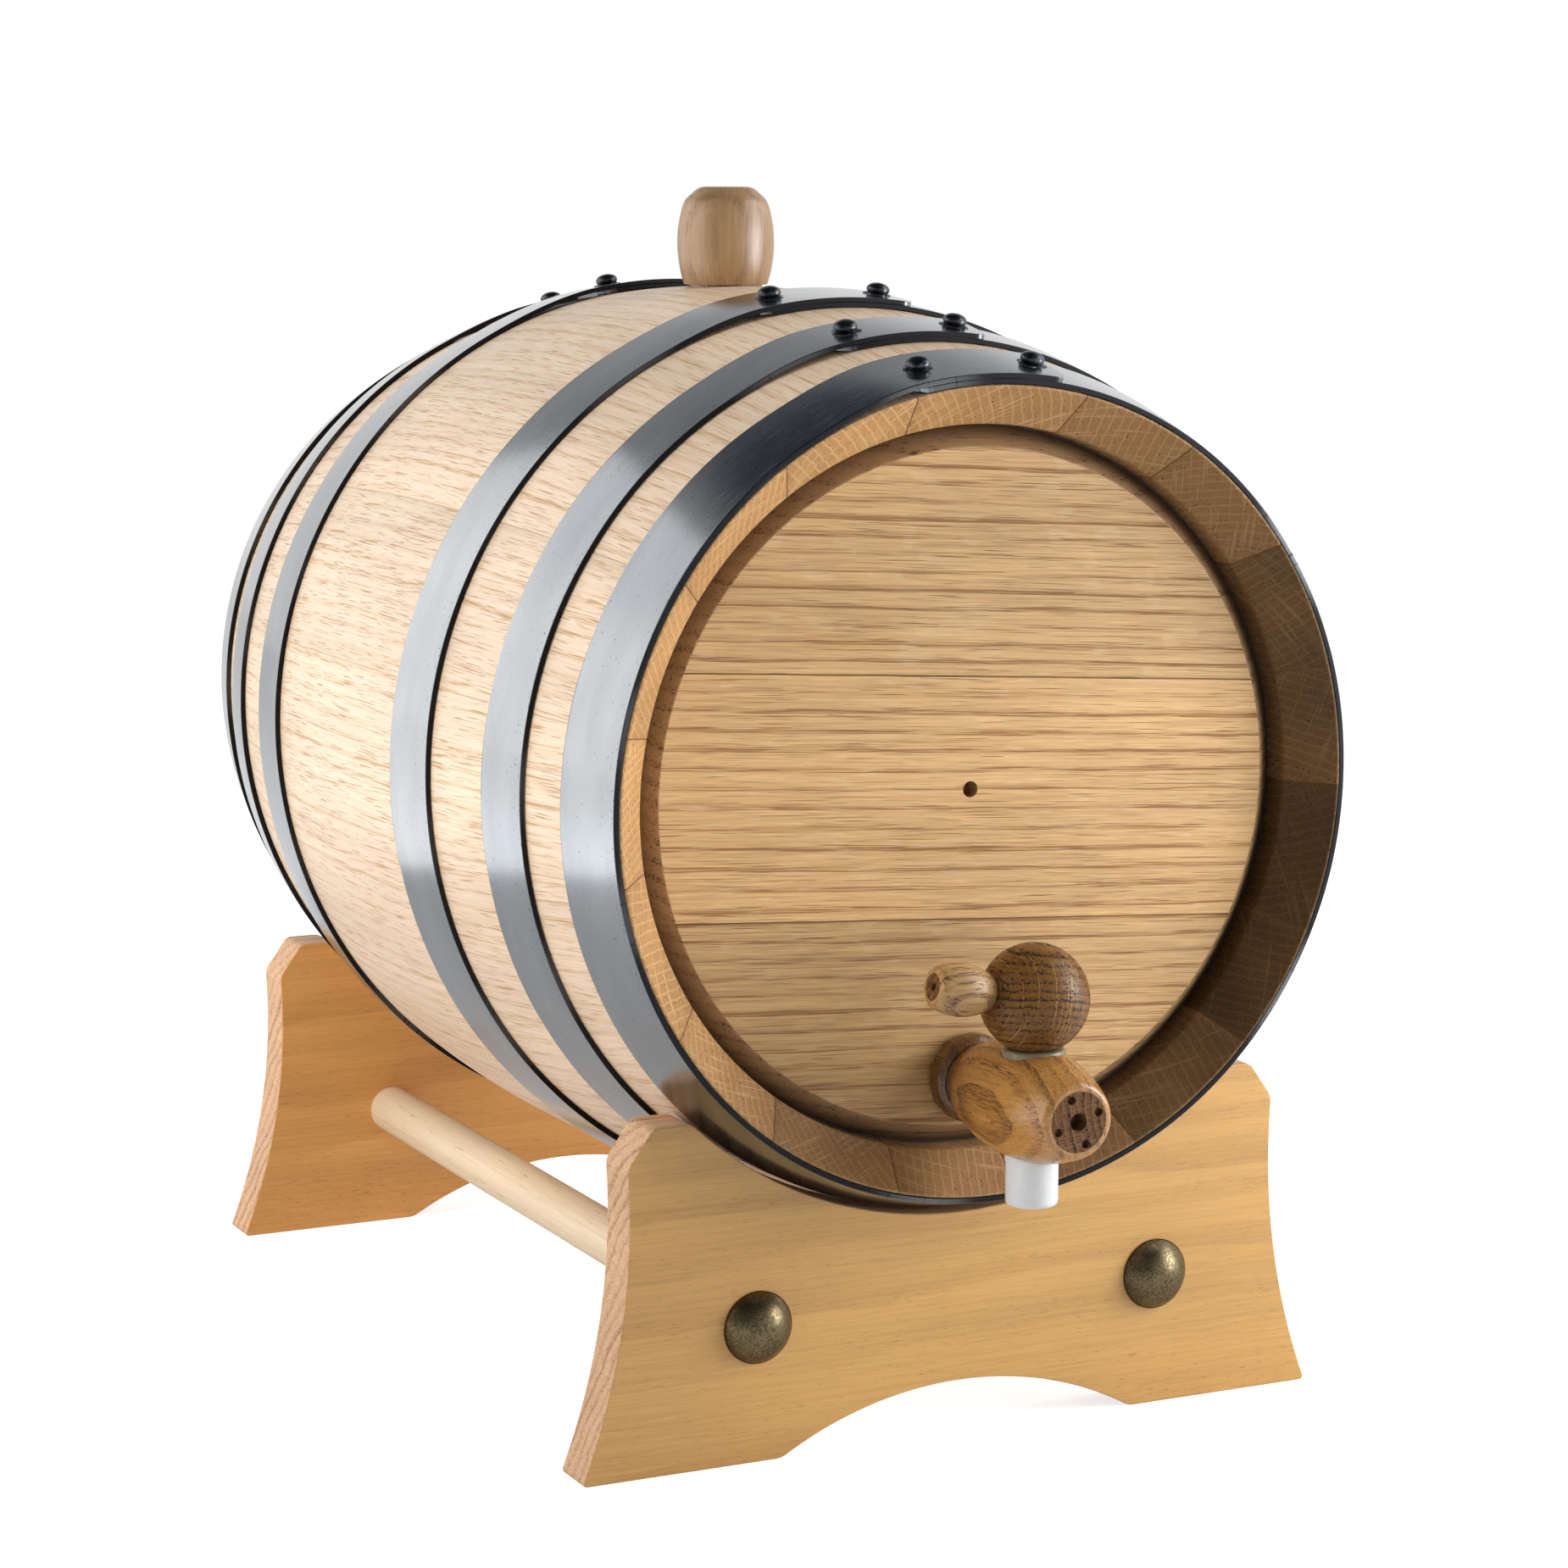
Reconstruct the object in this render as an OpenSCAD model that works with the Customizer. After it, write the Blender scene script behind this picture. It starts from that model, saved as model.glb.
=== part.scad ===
// Oak cask on a two-panel cradle, with a turned bung and a wooden tap.
// Millimetres, +Z up. The front head and the tap face -Y, and the cask lies along Y.
// The origin is on the floor, under the middle of the whole object's box.

/* [Cask] */
// Length over the stave ends
cask_l = 215; // [205:1:225]
// Outer diameter over the staves at the ends
end_d = 148; // [146:1:150]
// Outer diameter over the staves at the middle
bilge_d = 177; // [174:1:180]
// Stave thickness at the middle
stave_t = 11.5; // [11:0.5:12]
// Height of the cask's axis above the floor
axis_h = 122; // [122:1:126]

/* [Chime and croze] */
// Inner diameter between the chime and the croze
chime_d = 133.2; // [132:0.2:134]
// How far the chime's bevel reaches in from the stave end
chime_depth = 7.9; // [7:0.1:8.5]
// Flat left on the stave end outside the bevel
chime_land = 0.5; // [0.3:0.1:1]
// Distance from the stave end to the croze
croze_at = 13.5; // [13:0.5:14]
// Width of the croze, which is the thickness of the heads' tongue
croze_w = 5; // [4:0.5:5]
// Depth of the croze
croze_depth = 2.9; // [2:0.1:3]

/* [Heads] */
// Distance from the stave end to the head's face
head_setback = 9.5; // [9:0.5:10]
// Thickness of the heads
head_t = 10; // [9.5:0.5:10]
// Diameter of the flat face inside the head's bevelled rim
head_flat_d = 125; // [124:1:126]
// Turn of the front head's boards, clockwise from level
front_head_turn = 3.5; // [0:0.5:5]
// Turn of the rear head's boards, clockwise from level
rear_head_turn = 6; // [0:0.5:8]
// Diameter of the pins between the boards
head_pin_d = 4; // [3:0.5:5]
// Length of the pins between the boards
head_pin_l = 16; // [12:1:18]
// Diameter of the hole left at the middle of the front head by its turning
centre_hole_d = 3; // [2:0.5:4]
// Depth of that hole
centre_hole_depth = 4; // [2:0.5:5]

/* [Hoops] */
// Thickness of the hoop steel
hoop_t = 1; // [0.8:0.1:1.2]
// Width of the head hoops
head_hoop_w = 15; // [14:0.5:16]
// Distance from the stave end to the quarter hoop
quarter_hoop_at = 27; // [25:0.5:28]
// Width of the quarter hoops
quarter_hoop_w = 12.7; // [12:0.1:14]
// Distance from the stave end to the bilge hoop
bilge_hoop_at = 59.8; // [58:0.2:62]
// Width of the bilge hoops
bilge_hoop_w = 15; // [14:0.5:16]
// Diameter of the rivet heads
rivet_head_d = 5; // [4:0.5:5.5]
// Height of the rivet heads
rivet_head_h = 2.3; // [1.8:0.1:2.6]
// Diameter of the rivet shanks
rivet_d = 2.4; // [2:0.1:3]

/* [Bung] */
// Diameter of the bung's knob
bung_knob_d = 19.6; // [18:0.2:21]
// Height of the bung's knob
bung_knob_h = 19.5; // [17:0.5:21]
// Diameter of the bunghole
bunghole_d = 15; // [14:0.5:15.5]
// Length of the plug below the knob
bung_plug_l = 26; // [20:1:28]
// Distance of the bunghole behind the middle of the cask
bung_back = 7; // [0:1:10]

/* [Tap] */
// Height of the cask's axis above the tap's axis
tap_drop = 53.4; // [52:0.2:54]
// Length of the tap in front of the head's face
tap_l = 40.8; // [38:0.2:42]
// Largest diameter of the tap body
tap_d = 21; // [20:0.5:22]
// Diameter of the collar against the head
tap_collar_d = 16.6; // [16:0.2:18]
// Diameter of the shank in the head
tap_shank_d = 13; // [12:0.5:14]
// Length of the tail behind the head's face
tap_tail_l = 30; // [24:1:34]
// Distance from the head's face to the key's axis
key_at = 24.5; // [24:0.5:25]
// Outer diameter of the sleeve
sleeve_d = 9.9; // [9.5:0.1:10.1]
// Inner diameter of the sleeve and spout
sleeve_bore_d = 6.4; // [6:0.2:7]
// How far the spout ends below the tap's axis
spout_drop = 18.5; // [17:0.5:20]
// Diameter of the ball on the key
ball_d = 20; // [19:0.5:20]
// Height of the ball's middle above the tap's axis
ball_h = 19.2; // [19:0.1:19.5]
// Reach of the handle from the middle of the ball
handle_reach = 20.9; // [19:0.1:21]
// Largest diameter of the handle
handle_d = 9.6; // [9:0.1:10]
// Upward tilt of the handle
handle_tilt = 10.5; // [5:0.5:15]

/* [Stand] */
// Thickness of the panels
panel_t = 10; // [9:0.5:11]
// Distance from the cask's front end to the front panel
front_panel_at = 11; // [10:0.5:12]
// Distance from the cask's rear end to the rear panel
rear_panel_at = 5; // [5:0.5:6]
// Width over the feet
foot_w = 153.6; // [150:0.2:156]
// Width at the waist
waist_w = 134.8; // [132:0.2:138]
// Height of the waist above the floor
waist_h = 48.2; // [44:0.2:50]
// Radius of the hollow flanks
flank_r = 128; // [116:1:140]
// Height of the panels
panel_h = 64.6; // [62:0.2:66]
// Width of the chamfers at the top corners
corner_w = 5; // [4:0.5:6]
// Height of the chamfers at the top corners
corner_h = 7; // [6:0.5:8]
// Play between the saddle and the cask
saddle_play = 0.4; // [0.3:0.1:0.6]
// Radius of the arch between the feet
arch_r = 73.5; // [68:0.5:80]
// Height of the arch
arch_h = 10; // [9:0.5:11]
// Diameter of the dowels
dowel_d = 10; // [10:0.5:12]
// Distance of each dowel from the middle
dowel_x = 42; // [40:0.5:44]
// Height of the dowels above the floor
dowel_h = 25.5; // [24:0.5:27]
// Diameter of the dome caps
cap_d = 13.6; // [12:0.2:14]
// Height of the dome caps
cap_h = 4.5; // [4:0.1:4.9]
// Diameter of the stand screws
screw_d = 4; // [3:0.5:5]
// Length of the stand screws
screw_l = 35; // [30:1:45]

/* [Hidden] */
$fn = 96;
ARC_FN = 256;          // facets of the circles as wide as the cask is long
EPS = 1;               // overlap of the cutting shapes

// Widths of the staves in degrees, clockwise from the left edge of the bung stave
stave_spans = [27, 19, 21, 20, 18, 22, 19, 22.5, 20, 19.5, 22, 21, 23, 20.5, 22, 21.5, 22];
first_joint = -13;
// Heights of the joints between the head boards, from the head's middle
head_joints = [-24, 20.7];
head_pin_x = 30;

end_r = end_d / 2;
bilge_r = bilge_d / 2;
half_l = cask_l / 2;
chime_r = chime_d / 2;
bulge = bilge_r - end_r;
// Radius of the arc along the outside of the staves
arc_r = (half_l * half_l + bulge * bulge) / (2 * bulge);
// The arc along the inside, from the middle of the cask to the croze
inner_half = half_l - croze_at - croze_w;
inner_bulge = bilge_r - stave_t - chime_r;
inner_arc_r = (inner_half * inner_half + inner_bulge * inner_bulge) / (2 * inner_bulge);

head_play = 0.2;       // space around the heads' edge
head_face = half_l - head_setback;
head_edge_r = chime_r + croze_depth - head_play;
head_rim_r = chime_r - 0.3;

hoop_play = 0.1;       // space between the hoops and the staves
hole_play = 0.05;      // space around a shank that is fixed in its hole
lap_run = 3.2;         // degrees of lap beyond each rivet

// Hoops: name, first and last position from the middle towards the front, lap's middle, rivet angle
HOOPS = [
    ["front_head_hoop", half_l - head_hoop_w, half_l - 0.1, -1, 17],
    ["front_quarter_hoop", half_l - quarter_hoop_at - quarter_hoop_w, half_l - quarter_hoop_at, -2, 15.5],
    ["front_bilge_hoop", half_l - bilge_hoop_at - bilge_hoop_w, half_l - bilge_hoop_at, -1, 15],
    ["rear_bilge_hoop", bilge_hoop_at - half_l, bilge_hoop_at + bilge_hoop_w - half_l, 0, 15],
    ["rear_quarter_hoop", quarter_hoop_at - half_l, quarter_hoop_at + quarter_hoop_w - half_l, 1, 15.5],
    ["rear_head_hoop", 0.1 - half_l, head_hoop_w - half_l, 1, 17],
];

// The cask's middle along Y, which centres the whole box on the origin
cask_y = (tap_l - head_setback) / 2;
front_panel_y = cask_y - half_l + front_panel_at;
rear_panel_y = cask_y + half_l - rear_panel_at - panel_t;
tap_y = cask_y - head_face;
tap_h = axis_h - tap_drop;

function sum_to(list, n) = n <= 0 ? 0 : list[n - 1] + sum_to(list, n - 1);
function wood_r(z) = sqrt(arc_r * arc_r - z * z) - arc_r + bilge_r;
function stave_name(i) = str("stave_", i < 9 ? "0" : "", i + 1);
function board_name(side, k) = str(side, "_head_board_", k + 1);

// The saddle clears the widest part of the staves that lies over the front panel
saddle_r = wood_r(half_l - front_panel_at - panel_t) + saddle_play;

// ---------------------------------------------------------------- places

// The cask's own frame: +Z along its axis to the front, +Y up, the origin at its middle
module on_cask() {
    translate([0, cask_y, axis_h]) rotate([90, 0, 0]) children();
}

// The tap's own frame: +Z forward from the head's face, +Y up
module on_tap() {
    translate([0, tap_y, tap_h]) rotate([90, 0, 0]) children();
}

// The key's own frame: +Z up its axis, the origin on the tap's axis
module on_key() {
    translate([0, tap_y - key_at, tap_h]) children();
}

// The handle's own frame: +Z out of the ball along the handle
module on_handle() {
    on_key() translate([0, 0, ball_h]) rotate([0, handle_tilt - 90, 0]) children();
}

// +Z square to the staves, from the middle of the arc that passes position z, at an angle from the top
module square_to_wood(z, angle) {
    rotate([0, 0, 90 - angle])
        translate([bilge_r - arc_r, 0, 0])
            rotate([0, 90 - asin(z / arc_r), 0])
                children();
}

module at_rivets(h) {
    for (side = [-1, 1])
        square_to_wood((h[1] + h[2]) / 2, h[3] + side * h[4] / 2) children();
}

// ---------------------------------------------------------------- cask

module stave_section() {
    difference() {
        intersection() {
            translate([bilge_r - arc_r, 0]) circle(r = arc_r, $fn = ARC_FN);
            translate([end_r / 2, -half_l]) square([bilge_r, cask_l]);
        }
        translate([bilge_r - stave_t - inner_arc_r, 0]) circle(r = inner_arc_r, $fn = ARC_FN);
        for (end = [0, 1])
            mirror([0, end]) {
                translate([0, inner_half]) square([chime_r, cask_l]);
                translate([0, inner_half]) square([chime_r + croze_depth, croze_w]);
                chime_cut();
            }
    }
}

// The bevel of the chime, run on past the stave end
module chime_cut() {
    slope = (end_r - chime_land - chime_r) / chime_depth;
    polygon([
        [0, half_l - chime_depth],
        [chime_r, half_l - chime_depth],
        [end_r - chime_land + slope * EPS, half_l + EPS],
        [0, half_l + EPS],
    ]);
}

module stave(i) {
    span = stave_spans[i];
    joint = first_joint + sum_to(stave_spans, i + 1);
    color("burlywood")
        difference() {
            on_cask() rotate([0, 0, 90 - joint]) rotate_extrude(angle = span) stave_section();
            if (i == 0) bunghole();
        }
}

module bunghole() {
    translate([0, cask_y + bung_back, axis_h + bilge_r / 2]) cylinder(d = bunghole_d, h = bilge_r);
}

// Half section of a head, flat face outwards, with its tongue in the croze
module head_section() {
    tongue_top = half_l - croze_at;
    back = head_face - head_t;
    polygon([
        [0, back],
        [head_rim_r - 1, back],
        [head_rim_r, inner_half],
        [head_edge_r, inner_half],
        [head_edge_r, tongue_top],
        [head_rim_r, tongue_top],
        [head_flat_d / 2, head_face],
        [0, head_face],
    ]);
}

module head_pin_places() {
    for (joint = head_joints, side = [-1, 1])
        translate([side * head_pin_x, joint, head_face - head_t / 2]) rotate([90, 0, 0]) children();
}

module head_board(k) {
    low = k == 0 ? -end_r : head_joints[k - 1];
    high = k == len(head_joints) ? end_r : head_joints[k];
    difference() {
        intersection() {
            rotate_extrude($fn = 180) head_section();
            translate([-end_r, low, 0]) cube([end_d, high - low, half_l]);
        }
        head_pin_places() cylinder(d = head_pin_d + 2 * hole_play, h = head_pin_l + 0.4, center = true);
    }
}

module front_head_board(k) {
    color("peru")
        difference() {
            on_cask() rotate([0, 0, -front_head_turn]) head_board(k);
            if (k == 0)
                on_tap() translate([0, 0, -head_t - EPS])
                    cylinder(d = tap_shank_d + 2 * hole_play, h = head_t + 2 * EPS);
            if (k == 1)
                on_cask() translate([0, 0, head_face - centre_hole_depth])
                    cylinder(d = centre_hole_d, h = centre_hole_depth + EPS);
        }
}

module rear_head_board(k) {
    color("peru") on_cask() mirror([0, 0, 1]) rotate([0, 0, -rear_head_turn]) head_board(k);
}

module head_pins() {
    color("wheat")
        on_cask() {
            rotate([0, 0, -front_head_turn])
                head_pin_places() cylinder(d = head_pin_d, h = head_pin_l, center = true);
            mirror([0, 0, 1]) rotate([0, 0, -rear_head_turn])
                head_pin_places() cylinder(d = head_pin_d, h = head_pin_l, center = true);
        }
}

// ---------------------------------------------------------------- hoops

// A band between two heights over the staves, run on by a margin past both edges of the hoop
module band_section(h, low, high, margin) {
    intersection() {
        translate([bilge_r - arc_r, 0])
            difference() {
                circle(r = arc_r + high, $fn = ARC_FN);
                circle(r = arc_r + low, $fn = ARC_FN);
            }
        translate([end_r / 2, h[1] - margin]) square([bilge_r, h[2] - h[1] + 2 * margin]);
    }
}

// A riveted strip: two layers where its ends lap, and one round the rest of the cask
module hoop(h) {
    lap = h[4] + 2 * lap_run;
    lap_end = h[3] + lap / 2;
    color("lightslategray")
        on_cask()
            difference() {
                rotate_extrude($fn = 180) band_section(h, hoop_play, hoop_play + 2 * hoop_t, 0);
                rotate([0, 0, 90 - lap_end + lap])
                    rotate_extrude(angle = 360 - lap, $fn = 180)
                        band_section(h, hoop_play + hoop_t, 3 * hoop_t + EPS, EPS);
                at_rivets(h) translate([0, 0, arc_r - EPS])
                    cylinder(d = rivet_d + 2 * hole_play, h = 3 * EPS + 2 * hoop_t);
            }
}

// The shank runs from the hoop's inner face to the middle of the head
module rivet() {
    outer = arc_r + hoop_play + 2 * hoop_t + hole_play;
    translate([0, 0, arc_r + hoop_play]) cylinder(d = rivet_d, h = 2 * hoop_t + rivet_head_h / 2);
    translate([0, 0, outer]) dome(rivet_head_d, rivet_head_h);
}

// A ball's cap that stands on its flat side
module dome(d, h) {
    ball_r = (d * d / 4 + h * h) / (2 * h);
    rotate_extrude()
        intersection() {
            translate([0, h - ball_r]) circle(r = ball_r, $fn = 128);
            square([d, h]);
        }
}

module hoop_rivets() {
    color("dimgray") on_cask() for (h = HOOPS) at_rivets(h) rivet();
}

// ---------------------------------------------------------------- bung

// The knob's side is one arc, cut off slanting round the crown
module bung() {
    knob_r = bung_knob_d / 2;
    side_r = 26;
    belly = 8.3;
    crown_r = 5.4;
    stand_off = 0.25;
    plug_r = bunghole_d / 2 - 0.1;
    taper_at = 10;
    color("tan")
        translate([0, cask_y + bung_back, axis_h + wood_r(bung_back) + stand_off]) {
            rotate_extrude()
                difference() {
                    intersection() {
                        translate([knob_r - side_r, belly]) circle(r = side_r, $fn = 180);
                        square([knob_r, bung_knob_h]);
                    }
                    translate([crown_r, bung_knob_h]) rotate(-45) square(knob_r);
                }
            translate([0, 0, -taper_at]) cylinder(r = plug_r, h = taper_at + EPS);
            translate([0, 0, -bung_plug_l])
                cylinder(r1 = plug_r - 1.2, r2 = plug_r, h = bung_plug_l - taper_at);
        }
}

// ---------------------------------------------------------------- tap

seat_h = 8.7;          // height of the flat under the sleeve's flange
flange_d = 11.6;
flange_t = 1.5;
port_d = 3.6;          // ports through the sleeve and the plug
plug_top = 14.5;       // height of the plug's top inside the ball
bore_d = 4.4;          // liquor bore along the tap body
side_arc_r = 45;       // arc along the side of the tap body
belly_at = 22.5;       // where the tap body is thickest
collar_l = 4.6;
neck_l = 1.6;
neck_d = 13.2;

module tap_body() {
    color("saddlebrown")
        difference() {
            on_tap() {
                rotate_extrude() {
                    tap_collar_section();
                    tap_belly_section();
                }
                tap_shank();
            }
            on_tap() translate([0, 0, -tap_tail_l - EPS])
                cylinder(d = bore_d, h = tap_tail_l + EPS + key_at);
            on_key() translate([0, 0, seat_h]) cylinder(d = flange_d + 0.2, h = tap_d);
            on_key() translate([0, 0, -tap_d]) cylinder(d = sleeve_d + 2 * hole_play, h = 2 * tap_d);
            on_tap() translate([0, 0, tap_l]) lathe_marks();
        }
}

module tap_collar_section() {
    r = tap_collar_d / 2;
    polygon([[0, 0], [r - 0.8, 0], [r, 0.8], [r, collar_l - 1.2], [r - 1.2, collar_l], [0, collar_l]]);
    square([neck_d / 2, collar_l + neck_l + EPS]);
}

module tap_belly_section() {
    start = collar_l + neck_l;
    intersection() {
        translate([tap_d / 2 - side_arc_r, belly_at]) circle(r = side_arc_r, $fn = 180);
        translate([0, start]) square([tap_d, tap_l - start]);
    }
}

module tap_shank() {
    translate([0, 0, -head_t - EPS]) cylinder(d = tap_shank_d, h = head_t + 2 * EPS);
    translate([0, 0, -tap_tail_l])
        cylinder(d1 = tap_shank_d - 3, d2 = tap_shank_d, h = tap_tail_l - head_t);
}

// The pit and the four prong marks left by the lathe on the front face
module lathe_marks() {
    pit_depth = 4;
    mark_depth = 1.2;
    translate([0, 0, -pit_depth]) cylinder(d = 3, h = pit_depth + EPS);
    for (a = [20:90:290])
        rotate([0, 0, a]) translate([4.3, 0, -mark_depth])
            cylinder(d = 1.6, h = mark_depth + EPS, $fn = 24);
}

// The spout below the body is a little thinner than the sleeve inside it
module tap_sleeve() {
    spout_top = -tap_d / 2;
    spout_d = sleeve_d - 0.4;
    color("white")
        on_key() difference() {
            union() {
                translate([0, 0, -spout_drop]) cylinder(d = spout_d, h = spout_drop);
                translate([0, 0, spout_top]) cylinder(d = sleeve_d, h = seat_h - spout_top + flange_t);
                translate([0, 0, seat_h]) cylinder(d = flange_d, h = flange_t);
            }
            translate([0, 0, -spout_drop - EPS]) cylinder(d = sleeve_bore_d, h = spout_drop + tap_d);
            rotate([-90, 0, 0]) cylinder(d = port_d, h = sleeve_d);
        }
}

// The turning core. Its port faces away from the handle and turns down into the spout
module tap_plug() {
    running_play = 0.05;
    plug_low = -6;
    color("ivory")
        on_key() difference() {
            translate([0, 0, plug_low])
                cylinder(d = sleeve_bore_d - 2 * running_play, h = plug_top - plug_low);
            translate([0, 0, plug_low - EPS]) cylinder(d = port_d - 0.6, h = EPS - plug_low);
            rotate([0, 90, 0]) cylinder(d = port_d - 0.6, h = sleeve_d);
        }
}

shoulder_at = 9.4;     // flat on the ball under the handle's shoulder
shoulder_d = 7.2;
tenon_d = 4;
tenon_in = 3;          // the tenon's inner end, from the ball's middle

module tap_ball() {
    flat_h = seat_h + flange_t + 0.3;
    color("sienna")
        difference() {
            on_key() translate([0, 0, ball_h]) sphere(d = ball_d);
            on_key() translate([0, 0, flat_h - ball_d]) cylinder(d = ball_d, h = ball_d);
            on_key() translate([0, 0, flat_h - EPS])
                cylinder(d = sleeve_bore_d, h = plug_top + 0.2 - flat_h + EPS);
            on_handle() translate([0, 0, tenon_in - 0.2]) cylinder(d = tenon_d + 2 * hole_play, h = ball_d);
            on_handle() translate([0, 0, shoulder_at]) cylinder(d = shoulder_d, h = ball_d);
        }
}

module tap_handle() {
    side_r = 12;
    belly = 15.6;
    pit_depth = 1.5;
    color("burlywood")
        on_handle() difference() {
            union() {
                rotate_extrude()
                    intersection() {
                        translate([handle_d / 2 - side_r, belly]) circle(r = side_r, $fn = 128);
                        translate([0, shoulder_at]) square([handle_d, handle_reach - shoulder_at]);
                    }
                translate([0, 0, tenon_in]) cylinder(d = tenon_d, h = shoulder_at - tenon_in + EPS);
            }
            translate([0, 0, handle_reach - pit_depth]) cylinder(d = 1.6, h = pit_depth + EPS, $fn = 24);
        }
}

// ---------------------------------------------------------------- stand

module panel_outline() {
    half = foot_w / 2;
    difference() {
        translate([-half, 0]) square([foot_w, panel_h]);
        for (side = [0, 1])
            mirror([side, 0]) {
                translate([waist_w / 2 + flank_r, waist_h]) circle(r = flank_r, $fn = ARC_FN);
                polygon([
                    [waist_w / 2 - corner_w + 0.5, panel_h],
                    [waist_w / 2 + 0.5, panel_h - corner_h],
                    [half + EPS, panel_h - corner_h],
                    [half + EPS, panel_h + EPS],
                    [waist_w / 2 - corner_w + 0.5, panel_h + EPS],
                ]);
            }
        translate([0, axis_h]) circle(r = saddle_r, $fn = ARC_FN);
        translate([0, arch_h - arch_r]) circle(r = arch_r, $fn = ARC_FN);
    }
}

module panel() {
    color("goldenrod")
        difference() {
            translate([0, panel_t, 0]) rotate([90, 0, 0]) linear_extrude(panel_t) panel_outline();
            for (side = [-1, 1])
                translate([side * dowel_x, -EPS, dowel_h]) rotate([-90, 0, 0])
                    cylinder(d = screw_d + 2 * hole_play, h = panel_t + 2 * EPS);
        }
}

module front_panel() {
    translate([0, front_panel_y, 0]) panel();
}

module rear_panel() {
    translate([0, rear_panel_y, 0]) panel();
}

// Both ends of a rail, with +Z pointing out of the panel's outer face
module rail_ends(x) {
    translate([x, front_panel_y, dowel_h]) rotate([90, 0, 0]) children();
    translate([x, rear_panel_y + panel_t, dowel_h]) rotate([-90, 0, 0]) children();
}

module dowel(x) {
    inner_y = front_panel_y + panel_t;
    color("wheat")
        difference() {
            translate([x, inner_y, dowel_h]) rotate([-90, 0, 0])
                cylinder(d = dowel_d, h = rear_panel_y - inner_y);
            rail_ends(x) translate([0, 0, -screw_l - EPS])
                cylinder(d = screw_d + 2 * hole_play, h = screw_l + EPS);
        }
}

screw_head_d = 8;
screw_head_h = 2.4;

module stand_screws() {
    color("silver")
        for (side = [-1, 1])
            rail_ends(side * dowel_x) {
                translate([0, 0, -screw_l]) cylinder(d = screw_d, h = screw_l + EPS);
                cylinder(d = screw_head_d, h = screw_head_h);
            }
}

module dome_caps() {
    color("darkolivegreen")
        for (side = [-1, 1])
            rail_ends(side * dowel_x)
                difference() {
                    dome(cap_d, cap_h);
                    translate([0, 0, -EPS]) cylinder(d = screw_head_d, h = screw_head_h + EPS);
                }
}

// ---------------------------------------------------------------- nodes

for (i = [0:len(stave_spans) - 1]) stave(i);
for (k = [0:len(head_joints)]) front_head_board(k);
for (k = [0:len(head_joints)]) rear_head_board(k);
head_pins();
for (h = HOOPS) hoop(h);
hoop_rivets();
bung();
tap_body();
tap_sleeve();
tap_plug();
tap_ball();
tap_handle();
front_panel();
rear_panel();
dowel(-dowel_x);  // left_dowel
dowel(dowel_x);  // right_dowel
stand_screws();
dome_caps();
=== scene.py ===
"""An oak cask on a two-panel cradle, with a turned bung and a wooden tap.

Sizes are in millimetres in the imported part's frame: +Z up, the front head and the tap face -Y.
Colours are linear RGB.
"""

import math

import bmesh
import bpy
import numpy as np
from mathutils import Matrix, Vector


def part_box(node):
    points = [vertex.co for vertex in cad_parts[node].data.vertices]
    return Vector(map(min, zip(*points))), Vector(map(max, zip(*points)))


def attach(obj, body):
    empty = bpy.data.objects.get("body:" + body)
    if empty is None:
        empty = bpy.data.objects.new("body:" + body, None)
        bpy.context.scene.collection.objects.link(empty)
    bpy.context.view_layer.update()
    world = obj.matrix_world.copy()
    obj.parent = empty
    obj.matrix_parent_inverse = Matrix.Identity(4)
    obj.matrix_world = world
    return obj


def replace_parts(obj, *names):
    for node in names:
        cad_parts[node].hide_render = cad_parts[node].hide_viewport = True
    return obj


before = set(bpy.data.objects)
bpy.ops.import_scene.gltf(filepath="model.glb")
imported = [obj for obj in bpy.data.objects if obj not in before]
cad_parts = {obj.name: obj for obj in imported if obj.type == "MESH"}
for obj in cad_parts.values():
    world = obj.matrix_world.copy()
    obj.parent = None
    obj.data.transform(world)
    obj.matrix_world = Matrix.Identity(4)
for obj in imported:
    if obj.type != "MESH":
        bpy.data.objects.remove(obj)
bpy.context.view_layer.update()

# ------------------------------------------------------------------ camera
# The camera stands in front of the tap, to its left and a little above the cask, and looks slightly
# down with a short telephoto lens.

MM = 0.001
CAMERA_PLACE = (-347.1, -713.5, 233.5)
CAMERA_TURN, CAMERA_DIP, CAMERA_ROLL = np.radians([26.104, 8.744, 0.225])
LENS = 91.617
SENSOR = 36

level = Vector((math.cos(CAMERA_TURN), -math.sin(CAMERA_TURN), 0))
look = Vector((math.sin(CAMERA_TURN) * math.cos(CAMERA_DIP),
               math.cos(CAMERA_TURN) * math.cos(CAMERA_DIP), -math.sin(CAMERA_DIP)))
upright = level.cross(look)
right = level * math.cos(CAMERA_ROLL) + upright * math.sin(CAMERA_ROLL)
up = upright * math.cos(CAMERA_ROLL) - level * math.sin(CAMERA_ROLL)

camera = bpy.data.objects.new("camera", bpy.data.cameras.new("camera"))
camera.data.lens = LENS
camera.data.sensor_width = SENSOR
camera.data.clip_start = 0.05
camera.matrix_world = Matrix.Translation(Vector(CAMERA_PLACE) * MM) @ Matrix(
    (right, up, -look)).transposed().to_4x4()
bpy.context.scene.collection.objects.link(camera)
bpy.context.scene.camera = camera

# ------------------------------------------------------------------ studio
# A white room with a dark ceiling: the walls and the floor give the soft light. A bright panel at the
# left shows in the hoops, and four windows, one high and one low at either side, light the wood.

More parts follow.
